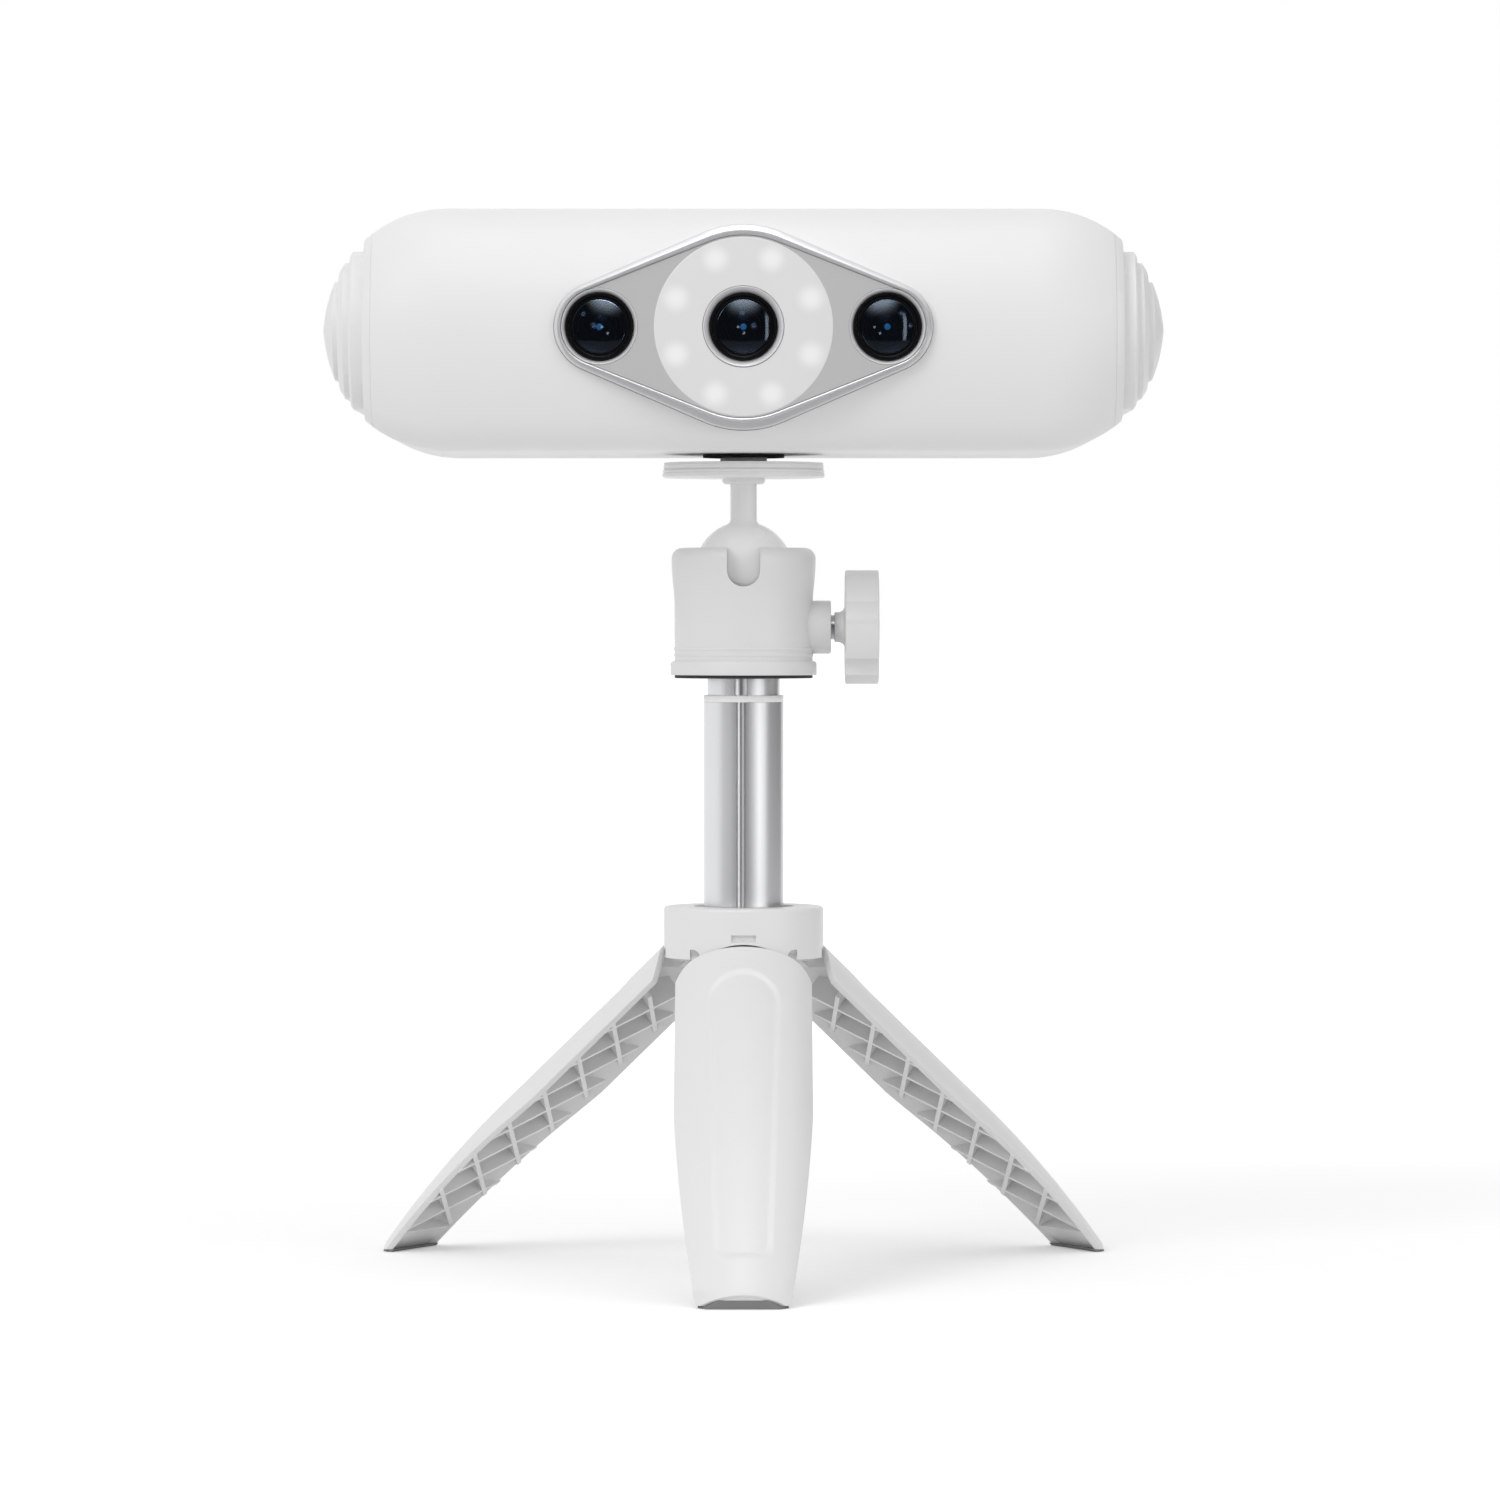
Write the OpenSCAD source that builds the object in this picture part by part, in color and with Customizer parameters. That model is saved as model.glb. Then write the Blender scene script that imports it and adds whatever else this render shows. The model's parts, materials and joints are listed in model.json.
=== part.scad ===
// Three-d scanner on a folding table tripod with a ball head.
// Millimetres. X points to the right of the scanner, -Y is its front, Z is up from the floor.

/* [Scanner body] */
// Width over the two end caps
body_w = 155; // [147:1:165]
// Height of the body
body_h = 44.5; // [43.5:0.5:50]
// Depth of the shells, front to rear
body_d = 82; // [76:1:92]
// Radius of the rounded ends seen from the front
end_r = 23; // [22:0.5:25]
// Radius of the gentle crown of the front and rear faces
crown_r = 34; // [30:0.5:44]
// Radius between a crowned face and the flat top
corner_r = 10; // [8:0.5:12]
// Half depth that is left at the tip of an end cap
tip_depth = 24; // [18:1:30]
// Wall of the shells
wall = 2.2; // [1.8:0.1:2.6]
// Where the front and the rear shell meet, behind the column axis
split_y = 9; // [8.5:0.5:12]
// Length of each end cap
cap_len = 9.3; // [8.8:0.1:10.5]
// Gap of the seam between shells and end cap
seam = 0.25; // [0.1:0.05:0.4]

/* [Lens panel] */
// Radius of the bezel in its middle
bezel_r = 18.65; // [18.2:0.05:19]
// Radius of the bezel around a side camera
bezel_end_r = 8.3; // [8.1:0.1:9]
// Distance of a side camera from the middle
camera_x = 26.2; // [25.6:0.2:30]
// How far the bezel stands in front of the shell
bezel_proud = 1.6; // [1.2:0.1:2.4]
// Width of the bezel's sloped edge
bezel_slope_w = 1.1; // [0.8:0.1:1.2]
// Width of the bezel's whole rim
bezel_rim = 2; // [1.9:0.05:2.2]
// Radius of a lens barrel
barrel_r = 6.15; // [5.8:0.05:6.2]
// Radius of a lens
lens_r = 4.7; // [4.2:0.1:5]
// Radius of the circle of lamps
lamp_ring_r = 12.8; // [12.2:0.1:13.2]
// Number of lamps in the ring light
lamp_count = 8; // [6:1:10]

/* [Ball head] */
// Radius of the ball
ball_r = 9.2; // [8.8:0.1:9.6]
// Radius of the stem above the ball
stem_r = 2.5; // [2.2:0.1:2.7]
// Radius of the round top plate
plate_r = 15.25; // [13:0.25:17]
// Thickness of the top plate, its pad included
plate_t = 2.8; // [2.4:0.1:3.6]
// Height of the ball's middle above the foot of the head
ball_up = 19.7; // [19.4:0.1:21]
// Height of the plate's underside above the ball's middle
plate_up = 17.4; // [17:0.1:19]
// Radius of the housing at its top
head_r = 13.55; // [13.3:0.05:14.2]
// Radius of the clamp knob
knob_r = 10.7; // [9:0.1:11.4]
// Length of the clamp knob
knob_len = 6.3; // [5:0.1:8]
// Number of lobes on the clamp knob
knob_lobes = 6; // [5:1:8]
// Radius of the clamp screw
screw_r = 2.3; // [2:0.05:2.4]

/* [Column] */
// Radius of the lower tube
tube_r = 7.5; // [7.4:0.05:7.6]
// Wall of both tubes
tube_wall = 0.6; // [0.5:0.05:0.65]
// Length of lower tube that shows above the hub
lower_show = 38.4; // [36:0.2:46]
// Height of the collar on the lower tube
collar_h = 1.3; // [1:0.1:2]
// Length of upper tube that shows above the collar
upper_show = 3.2; // [2.8:0.1:8]

/* [Hub and legs] */
// Height of the hub's lower edge above the floor
hub_z = 58.6; // [54:0.2:64]
// Height of the hub
hub_h = 9.6; // [9.2:0.1:12]
// Radius of the hub
hub_r = 15; // [14.8:0.05:15.1]
// Distance of a leg hinge from the column axis
hinge_r = 11.5; // [11.4:0.05:11.6]
// Angle between a spread leg and the column
spread = 49; // [42:0.5:52]
// Outside radius of the closed legs
leg_r = 15.2; // [15.1:0.05:15.4]
// Outside radius of the closed legs at their feet
leg_end_r = 12; // [11.4:0.1:12.8]
// Angle of the sector that one closed leg fills
leg_sector = 114; // [108:1:117]
// Wall of a leg's outer shell
leg_wall = 1.2; // [1.1:0.1:1.6]
// Distance between the crossings of the ribs
rib_pitch = 10.2; // [9.5:0.1:11.5]
// Thickness of a rib
rib_t = 0.9; // [0.8:0.1:1.2]
// Radius that the ribs leave clear for the column
rib_clear_r = 8.6; // [8.5:0.05:8.9]
// Radius of a hinge pin
pin_r = 1; // [0.9:0.05:1.1]
// Height of a foot's front edge above the floor
foot_rise = 2.6; // [2.2:0.1:3.4]
// Thickness of a foot sole under the leg
sole_t = 0.5; // [0.4:0.1:1]

/* [Fits] */
// Radial clearance of a piece that turns or slides in another
fit = 0.05; // [0.03:0.01:0.08]
// Gap around a piece that only sits in another
ease = 0.1; // [0.08:0.01:0.15]

/* [Hidden] */
$fn = 64;

// Levels up the column
hub_top = hub_z + hub_h;
hinge_z = hub_z + 0.9;
collar_z = hub_top + lower_show;
upper_z = collar_z + collar_h;
washer_z = upper_z + upper_show;
washer_t = 0.6;
head_z = washer_z + washer_t;
ball_z = head_z + ball_up;
head_top = ball_z + 4.2;
plate_z = ball_z + plate_up;
pad_z = plate_z + plate_t / 2;
plate_top = plate_z + plate_t;
plate_boss_h = 0.95;
plate_boss_r = 7.2;
pad_top = plate_top + plate_boss_h;
tripod_pad_t = 0.6;
body_z = pad_top + tripod_pad_t;
mid_z = body_z + body_h / 2;
knob_z = head_z + 9;
head_waist = head_r - 0.55;
head_round = 1.8;

// Scanner body
half_w = body_w / 2;
half_h = body_h / 2;
half_d = body_d / 2;
straight = half_w - end_r;
seam_x = half_w - cap_len;
crown_steps = 10;
step_starts = [1.5, 4.2, 6.3];
step_lens = [2.2, 1.1, 1.0];
corner_steps = 6;

// Lens panel, as distances along Y
shell_y = -half_d;
bezel_recess = 0.4;
bezel_front = shell_y - bezel_proud;
panel_front = bezel_front + bezel_recess;
panel_t = 2.4;
panel_base = panel_front + panel_t;
panel_back = panel_base + 1.2;
frame_front = shell_y + 9.5;
frame_t = 2;
frame_back = frame_front + frame_t;
ring_r = bezel_r - bezel_rim - 0.15;
trim_r = barrel_r + 1.2;
camera_trim_r = barrel_r + 0.5;
panel_web = 0.4;
bezel_slope_h = 0.8;
frame_x = 40;
frame_margin = 5;
post_z = 12;
post_r = 3;
spigot_r = 5;
aperture_r = 3.4;
lens_seat = 4.2;
lens_dome_r = 9;
inner_screw_r = 1.1;
inner_head_r = 2.2;

// Pieces behind the optical frame
camera_board_w = 16;
camera_board_t = 1.4;
projector_w = 18;
projector_h = 16;
projector_d = 14;
sink_w = 20;
sink_h = 18;
sink_base = 2;
fin_count = 5;
fin_t = 1.4;
fin_h = 7;
board_h = 26;
board_post_z = 9;

// Rear of the scanner
rear_in = half_d - wall;
board_back = rear_in - 7.2;
board_t = 1.6;
board_front = board_back - board_t;
button_r = 6.5;
button_proud = 1;
button_travel = 1;
port_x = 24;
light_x = -18;

// Tripod thread
snug = 0.03;
thread_r = 3.175;
insert_r = 5.5;
insert_h = 7.6;
thread_len = 6.2;

// Column
tube_in = tube_r - tube_wall;
upper_r = tube_in - 2 * fit;
upper_in = upper_r - tube_wall;
groove_at = tube_r + 0.2;
groove_turn = -4;
groove_r = 0.9;
lower_groove_out = groove_r + tube_wall;
upper_groove_r = lower_groove_out + 2 * fit;
upper_groove_out = upper_groove_r + tube_wall;
bush_r = 9.4;
bush_foot = hub_z - 5.2;
stop_r = 8.2;
dimple_r = 1.4;
dimple_depth = 0.35;
lower_end = bush_foot - 1.4;
upper_end = bush_foot + 6.2;
plug_len = 8;

// Legs
c_s = cos(spread);
s_s = sin(spread);
leg_len = (hinge_z + s_s * (leg_end_r - hinge_r) - foot_rise) / c_s;
leg_top = 1.6;
leg_straight = 48;
leg_drop = leg_r - leg_end_r;
leg_run = leg_len - leg_straight;
leg_arc_r = (leg_run * leg_run + leg_drop * leg_drop) / (2 * leg_drop);
leg_hi = hinge_z - leg_top;
leg_lo = hinge_z - leg_len;
leg_bend = hinge_z - leg_straight;
leg_w = leg_r * sin(leg_sector / 2) + 0.4;
leg_side_r = 500;
leg_side_from = 19;
leg_side_z = hinge_z - leg_side_from;
foot_w = leg_w - pow(leg_len - leg_side_from, 2) / (2 * leg_side_r) - 0.4;
knuckle_r = 1.9;
knuckle_w = 6.2;
ear_t = 2;
ear_gap = 0.2;
hub_round = 0.7;
foot_r = hinge_r + s_s * leg_len + c_s * (leg_end_r - hinge_r) - 0.9;

// The column stands behind the middle of the whole object's box
foot_corner = 6.4642;
rear_reach = max(half_d + button_proud, foot_r * 0.5 + foot_corner);
front_reach = hinge_r + s_s * leg_len + c_s * (leg_end_r - hinge_r);
column_y = (front_reach - rear_reach) / 2;

module at_column() {
  translate([0, column_y, 0]) children();
}

// A round bar along Y from y0 to y1
module bar_y(x, z, r, y0, y1) {
  translate([x, y1, z]) rotate([90, 0, 0]) cylinder(r = r, h = y1 - y0);
}

// A round bar along X from x0 to x1
module bar_x(z, r, x0, x1) {
  translate([x0, 0, z]) rotate([0, 90, 0]) cylinder(r = r, h = x1 - x0);
}

// A flat outline in Y and Z that is pulled along X from x0 to x1
module slab_x(x0, x1) {
  translate([x0, 0, 0]) rotate([90, 0, 90]) linear_extrude(x1 - x0) children();
}

// A flat outline in X and Z that is pulled along Y from y0 to y1
module slab_y(y0, y1) {
  translate([0, y1, 0]) rotate([90, 0, 0]) linear_extrude(y1 - y0) children();
}

module ring(r_out, r_in, z0, z1) {
  difference() {
    translate([0, 0, z0]) cylinder(r = r_out, h = z1 - z0);
    translate([0, 0, z0 - 1]) cylinder(r = r_in, h = z1 - z0 + 2);
  }
}

// Scanner body: front half of a cross-section, from the bottom round the front to the top
function section_front(a, b, rc, rr) =
  let(
    y_crown = rc - a,
    y_corner = y_crown - sqrt(pow(rc - rr, 2) - pow(b - rr, 2)),
    t = atan2(b - rr, y_crown - y_corner)
  )
  concat(
    [for (i = [0:corner_steps]) let(q = -90 + (90 - t) * i / corner_steps)
      [y_corner - rr * cos(q), rr - b + rr * sin(q)]],
    [for (i = [1:crown_steps - 1]) let(q = -t + 2 * t * i / crown_steps)
      [y_crown - rc * cos(q), rc * sin(q)]],
    [for (i = [0:corner_steps]) let(q = t + (90 - t) * i / corner_steps)
      [y_corner - rr * cos(q), b - rr + rr * sin(q)]]
  );

function section_rear(a, b, rc, rr) =
  let(f = section_front(a, b, rc, rr), n = len(f))
  [for (i = [0:n - 1]) [-f[n - 1 - i][0], f[n - 1 - i][1]]];

// Half height of the body at x, for an end radius r
function end_h(x, r) = let(u = max(0, abs(x) - straight)) sqrt(max(0.01, r * r - u * u));

// Half depth that goes with a half height, for walls moved in by w
function depth_at(b, w) =
  half_d - w - (half_d - tip_depth) * (1 - b / (half_h - w));

// Cross-sections moved in by w, kept in proportion where the body gets smaller
function scaled(pts, b, w) =
  let(k = depth_at(b, w) / (half_d - w), m = b / (half_h - w))
  [for (p = pts) [p[0] * k, p[1] * m]];

module loft(xs, rows) {
  n = len(rows[0]);
  m = len(rows);
  pts = [for (i = [0:m - 1]) for (p = rows[i]) [xs[i], p[0], p[1]]];
  sides = [for (i = [0:m - 2]) for (j = [0:n - 1]) let(k = (j + 1) % n)
    each [[i * n + j, (i + 1) * n + k, (i + 1) * n + j],
          [i * n + j, i * n + k, (i + 1) * n + k]]];
  ends = [[for (j = [n - 1:-1:0]) j], [for (j = [0:n - 1]) (m - 1) * n + j]];
  polyhedron(points = pts, faces = concat(sides, ends), convexity = 6);
}

// The front part of the body, moved in by w, out to x_end on each side and back to y_cut
module body_front(w, x_end, y_cut) {
  r = end_r - w;
  b0 = half_h - w;
  q_end = asin((x_end - straight) / r);
  steps = 5;
  half = [for (i = [0:steps]) let(q = q_end * i / steps) [straight + r * sin(q), b0 * cos(q)]];
  stations = concat([for (i = [steps:-1:0]) [-half[i][0], half[i][1]]], half);
  base = section_front(half_d - w, b0, crown_r - w, corner_r - w);
  loft(
    [for (s = stations) s[0]],
    [for (s = stations) concat([[y_cut, -s[1]]], scaled(base, s[1], w), [[y_cut, s[1]]])]
  );
}

module body_shell(y_cut) {
  difference() {
    body_front(0, seam_x, y_cut);
    body_front(wall, seam_x + 0.8, y_cut + 1);
  }
}

// Outline of the bezel in X and Z, grown by g
module bezel_outline(g) {
  hull() {
    circle(r = bezel_r + g);
    for (s = [-1, 1]) translate([s * camera_x, 0]) circle(r = bezel_end_r + g);
  }
}

// Outline of the opening in the bezel in X and Z, grown by g
module bezel_opening(g) {
  hull() {
    circle(r = bezel_r - bezel_rim + g);
    for (s = [-1, 1]) translate([s * camera_x, 0]) circle(r = camera_trim_r + panel_web + g);
  }
}

module front_shell() {
  at_column() color("#eeeeec") translate([0, 0, mid_z]) difference() {
    union() {
      body_shell(split_y);
      translate([0, 0, 0.5 - half_h]) cylinder(r = 8, h = insert_h);
      for (x = [-frame_x, frame_x], z = [-post_z, post_z])
        bar_y(x, z, post_r, shell_y + 3.4, frame_front);
    }
    slab_y(shell_y - 1, frame_front - 1) bezel_outline(ease);
    translate([0, 0, -half_h - 1]) cylinder(r = insert_r, h = insert_h + 4);
    for (x = [-frame_x, frame_x], z = [-post_z, post_z])
      bar_y(x, z, inner_screw_r, frame_front - 4.4, frame_front + 1);
  }
}

module rear_shell() {
  at_column() color("#ebebe9") translate([0, 0, mid_z]) difference() {
    union() {
      mirror([0, 1, 0]) body_shell(-split_y);
      for (x = [-frame_x, frame_x], z = [-board_post_z, board_post_z])
        bar_y(x, z, post_r, board_back, rear_in - 0.4);
    }
    bar_y(0, 0, button_r + ease, rear_in - 3, half_d + 2);
    bar_y(light_x, 0, 1.5 + ease, rear_in - 3, half_d + 2);
    translate([port_x, half_d, 0]) cube([9.4, 8, 3.7], center = true);
    for (x = [-frame_x, frame_x], z = [-board_post_z, board_post_z])
      bar_y(x, z, inner_screw_r, board_back - 1, board_back + 4.4);
  }
}

// An end cap with three steps, on the right-hand side
module end_cap() {
  starts = [for (s = step_starts) seam_x + s];
  dome_from = starts[2] + step_lens[2];
  q0 = asin((dome_from - straight) / end_r);
  k_h = half_h / end_r;
  stations = concat(
    [[seam_x + seam, k_h * end_h(seam_x + seam, end_r)]],
    [for (i = [0:2]) let(b = k_h * end_h(starts[i] + step_lens[i], end_r)) each [
      [starts[i], k_h * end_h(starts[i], end_r)], [starts[i] + 0.1, b], [starts[i] + step_lens[i], b]
    ]],
    [for (i = [1:4]) let(q = q0 + (86 - q0) * i / 4)
      [straight + end_r * sin(q), half_h * cos(q)]]
  );
  base = concat(
    section_front(half_d, half_h, crown_r, corner_r),
    section_rear(half_d, half_h, crown_r, corner_r)
  );
  plug_b = (half_h - wall) / (end_r - wall) * end_h(seam_x, end_r - wall) - ease;
  plug = [for (p = scaled(concat(
    section_front(half_d - wall, half_h - wall, crown_r - wall, corner_r - wall),
    section_rear(half_d - wall, half_h - wall, crown_r - wall, corner_r - wall)
  ), plug_b, wall)) [p[0] - sign(p[0]) * ease, p[1]]];
  difference() {
    union() {
      loft([for (s = stations) s[0]], [for (s = stations) scaled(base, s[1], 0)]);
      loft([seam_x - 4, seam_x + seam + 0.3], [plug, plug]);
    }
    translate([seam_x - 5, -20, -7]) cube([9, 40, 14]);
    for (s = [-1, 1]) translate([seam_x - 5, s * 20, 0]) rotate([0, 90, 0]) cylinder(r = 7, h = 9);
  }
}

module right_end_cap() {
  at_column() color("#e9e9e7") translate([0, 0, mid_z]) end_cap();
}

module left_end_cap() {
  at_column() color("#e9e9e7") translate([0, 0, mid_z]) mirror([1, 0, 0]) end_cap();
}

// One round of the bezel with its sloped front edge
module bezel_round(x, r) {
  bar_y(x, 0, r, bezel_front + bezel_slope_h, frame_front);
  translate([x, bezel_front + bezel_slope_h, 0]) rotate([90, 0, 0])
    cylinder(r1 = r, r2 = r - bezel_slope_w, h = bezel_slope_h);
}

module lens_bezel() {
  at_column() color("#c9cacc") translate([0, 0, mid_z]) difference() {
    hull() {
      bezel_round(0, bezel_r);
      for (s = [-1, 1]) bezel_round(s * camera_x, bezel_end_r);
    }
    slab_y(bezel_front - 1, frame_front + 1) bezel_opening(0);
  }
}

module lens_panel() {
  at_column() color("#b0b0b0") translate([0, 0, mid_z]) difference() {
    slab_y(panel_front, panel_back) bezel_opening(-ease);
    bar_y(0, 0, ring_r + ease, panel_front - 1, panel_base);
    bar_y(0, 0, barrel_r + ease, panel_front - 1, panel_back + 1);
    for (s = [-1, 1]) {
      bar_y(s * camera_x, 0, barrel_r + ease, panel_front - 1, panel_back + 1);
      bar_y(s * camera_x, 0, camera_trim_r + ease, panel_front - 1, panel_base);
    }
  }
}

module ring_light() {
  at_column() color("#f8f8f6") translate([0, 0, mid_z]) difference() {
    union() {
      bar_y(0, 0, ring_r, panel_front + 0.5, panel_base);
      bar_y(0, 0, ring_r - 0.6, panel_front, panel_front + 0.6);
    }
    bar_y(0, 0, trim_r + ease, panel_front - 1, panel_base + 1);
    difference() {
      bar_y(0, 0, ring_r - 1, panel_base - 1.7, panel_base + 1);
      bar_y(0, 0, trim_r + 1.2, panel_base - 3, panel_base + 2);
    }
  }
}

module ring_board() {
  at_column() color("#3d6b4f") translate([0, 0, mid_z]) difference() {
    bar_y(0, 0, ring_r - 1.2, panel_base - 0.8, panel_base);
    bar_y(0, 0, trim_r + 1.4, panel_base - 2, panel_base + 1);
  }
}

module ring_lamps() {
  at_column() color("#fdf6d8") translate([0, 0, mid_z])
    for (i = [0:lamp_count - 1]) rotate([0, (i + 0.5) * 360 / lamp_count, 0])
      translate([lamp_ring_r - 1.2, panel_base - 1.4, -1.2]) cube([2.4, 0.6, 2.4]);
}

module projector_trim() {
  at_column() color("#bfc1c4") translate([0, 0, mid_z]) difference() {
    bar_y(0, 0, trim_r, panel_front - 0.2, panel_base);
    bar_y(0, 0, barrel_r + ease, panel_front - 1, panel_base + 1);
    translate([0, panel_front - 0.21, 0]) rotate([-90, 0, 0])
      cylinder(r1 = trim_r - 0.35, r2 = barrel_r, h = 0.9);
  }
}

module camera_trims() {
  at_column() color("#c6c7ca") translate([0, 0, mid_z])
    for (s = [-1, 1]) translate([s * camera_x, 0, 0]) difference() {
      bar_y(0, 0, camera_trim_r, panel_front, panel_base);
      bar_y(0, 0, barrel_r + ease, panel_front - 1, panel_base + 1);
      translate([0, panel_front - 0.01, 0]) rotate([-90, 0, 0])
        cylinder(r1 = camera_trim_r - 0.1, r2 = barrel_r, h = 0.6);
    }
}

// A lens barrel with a dished mouth, seated on the optical frame
module barrel(x) {
  y0 = panel_front + 0.1;
  difference() {
    union() {
      bar_y(x, 0, barrel_r, y0, frame_front);
      bar_y(x, 0, spigot_r, frame_front - 1, frame_back);
    }
    translate([x, y0 - 0.01, 0]) rotate([-90, 0, 0])
      cylinder(r1 = barrel_r - 0.45, r2 = lens_r, h = 1.2);
    bar_y(x, 0, lens_r, y0 + 1, y0 + lens_seat);
    bar_y(x, 0, aperture_r, y0 + lens_seat - 0.2, frame_back + 1);
  }
}

// A domed lens in its barrel
module lens(x) {
  y0 = panel_front + 0.1;
  color("#18202c") intersection() {
    bar_y(x, 0, lens_r, y0, y0 + lens_seat);
    translate([x, y0 + 0.9 + lens_dome_r, 0]) sphere(r = lens_dome_r);
  }
}

module projector_barrel() {
  at_column() color("#1c1c1e") translate([0, 0, mid_z]) barrel(0);
}

module left_camera_barrel() {
  at_column() color("#1c1c1e") translate([0, 0, mid_z]) barrel(-camera_x);
}

module right_camera_barrel() {
  at_column() color("#1c1c1e") translate([0, 0, mid_z]) barrel(camera_x);
}

module projector_lens() {
  at_column() translate([0, 0, mid_z]) lens(0);
}

module left_camera_lens() {
  at_column() translate([0, 0, mid_z]) lens(-camera_x);
}

module right_camera_lens() {
  at_column() translate([0, 0, mid_z]) lens(camera_x);
}

module optical_frame() {
  at_column() color("#8f9499") translate([0, 0, mid_z]) difference() {
    translate([-frame_x - frame_margin, frame_front, -post_z - frame_margin])
      cube([2 * (frame_x + frame_margin), frame_t, 2 * (post_z + frame_margin)]);
    for (x = [-camera_x, 0, camera_x]) bar_y(x, 0, spigot_r + fit, frame_front - 1, frame_back + 1);
    for (x = [-frame_x, frame_x], z = [-post_z, post_z])
      bar_y(x, z, inner_screw_r + ease, frame_front - 1, frame_back + 1);
  }
}

module camera_boards() {
  at_column() color("#2f5d45") translate([0, 0, mid_z])
    for (s = [-1, 1]) translate([s * camera_x - camera_board_w / 2, frame_back, -camera_board_w / 2])
      cube([camera_board_w, camera_board_t, camera_board_w]);
}

module projector_body() {
  at_column() color("#5b5e62") translate([0, 0, mid_z])
    translate([-projector_w / 2, frame_back, -projector_h / 2])
      cube([projector_w, projector_d, projector_h]);
}

module heat_sink() {
  at_column() color("#9ea3a8") translate([-sink_w / 2, frame_back + projector_d, mid_z - sink_h / 2]) {
    cube([sink_w, sink_base, sink_h]);
    for (i = [0:fin_count - 1]) translate([i * (sink_w - fin_t) / (fin_count - 1), sink_base / 2, 0])
      cube([fin_t, fin_h, sink_h]);
  }
}

module frame_screws() {
  at_column() color("#70757a") translate([0, 0, mid_z])
    for (x = [-frame_x, frame_x], z = [-post_z, post_z]) {
      bar_y(x, z, inner_head_r, frame_back, frame_back + 1.5);
      bar_y(x, z, inner_screw_r, frame_front - 4, frame_back + 0.5);
    }
}

module main_board() {
  at_column() color("#2f5d45") translate([0, 0, mid_z]) difference() {
    translate([-frame_x - frame_margin, board_front, -board_h / 2])
      cube([2 * (frame_x + frame_margin), board_t, board_h]);
    for (x = [-frame_x, frame_x], z = [-board_post_z, board_post_z])
      bar_y(x, z, inner_screw_r + ease, board_front - 1, board_back + 1);
  }
}

module board_screws() {
  at_column() color("#70757a") translate([0, 0, mid_z])
    for (x = [-frame_x, frame_x], z = [-board_post_z, board_post_z]) {
      bar_y(x, z, inner_head_r, board_front - 1.5, board_front);
      bar_y(x, z, inner_screw_r, board_front - 0.5, board_back + 4);
    }
}

module rear_port() {
  at_column() color("#a8abae") translate([port_x, 0, mid_z]) difference() {
    translate([-4.5, board_back, -1.65]) cube([9, half_d - 0.6 - board_back, 3.3]);
    difference() {
      translate([-4.15, half_d - 6.6, -1.3]) cube([8.3, 8, 2.6]);
      translate([-3.3, half_d - 7, -0.35]) cube([6.6, 5.4, 0.7]);
    }
  }
}

module button_switch() {
  at_column() color("#2a2a2c") translate([-3, board_back, mid_z - 3])
    cube([6, rear_in - 2.6 - button_travel - 0.3 - board_back, 6]);
}

module status_light() {
  at_column() color("#bfe3c8") translate([0, 0, mid_z])
    bar_y(light_x, 0, 1.5, board_back, half_d);
}

module scan_button() {
  at_column() color("#d9dadb") translate([0, 0, mid_z]) {
    bar_y(0, 0, button_r, rear_in - 2.6, half_d + button_proud);
    bar_y(0, 0, button_r + 1.1, rear_in - 2.6, rear_in - 1.3);
  }
}

module tripod_insert() {
  at_column() color("#b39a5a") ring(insert_r, thread_r + fit, body_z, body_z + insert_h);
}

module tripod_pad() {
  at_column() color("#3a3a3c") ring(7.65, thread_r + 0.3, pad_top, body_z);
}

module top_plate() {
  at_column() color("#e4e4e2") difference() {
    union() {
      translate([0, 0, plate_z]) cylinder(r = plate_r, h = plate_t / 2);
      translate([0, 0, plate_z - 1.2]) cylinder(r = 4, h = 1.3);
    }
    translate([0, 0, plate_z - 2]) cylinder(r = stem_r, h = plate_t + 4);
    ring(plate_r + 1, plate_r - 0.15, plate_z + 0.7, plate_z + 0.95);
  }
}

module plate_pad() {
  at_column() color("#e9e9e7") difference() {
    union() {
      ring(plate_r - 0.2, thread_r + 0.3, pad_z, plate_top);
      ring(plate_boss_r, thread_r + 0.3, plate_top - 0.2, pad_top);
    }
    ring(plate_r + 1, plate_r - 0.35, pad_z - 0.1, pad_z + 0.2);
    ring(plate_r + 1, plate_r - 0.35, plate_top - 0.6, plate_top - 0.4);
  }
}

module mounting_screw() {
  at_column() color("#9a9da1") translate([0, 0, pad_z])
    cylinder(r = thread_r, h = body_z - pad_z + thread_len);
}

module ball_stud() {
  at_column() color("#dcdcda") {
    translate([0, 0, ball_z]) sphere(r = ball_r);
    translate([0, 0, ball_z]) cylinder(r = stem_r, h = pad_z - ball_z);
  }
}

// Half profile of the head's outside, radius and height
module head_profile() {
  h = head_top - head_z;
  polygon([
    [0, 0], [head_r + 0.2, 0], [head_r + 0.2, 2.3], [head_waist, 2.8], [head_waist, h - 9.6],
    [head_r, h - 2.7], [head_r, h - head_round], [0, h - head_round]
  ]);
  square([head_r - head_round, h]);
  translate([head_r - head_round, h - head_round]) circle(r = head_round);
  for (z = [3.6, 4.7]) translate([0, z]) square([head_waist + 0.15, 0.5]);
}

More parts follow.
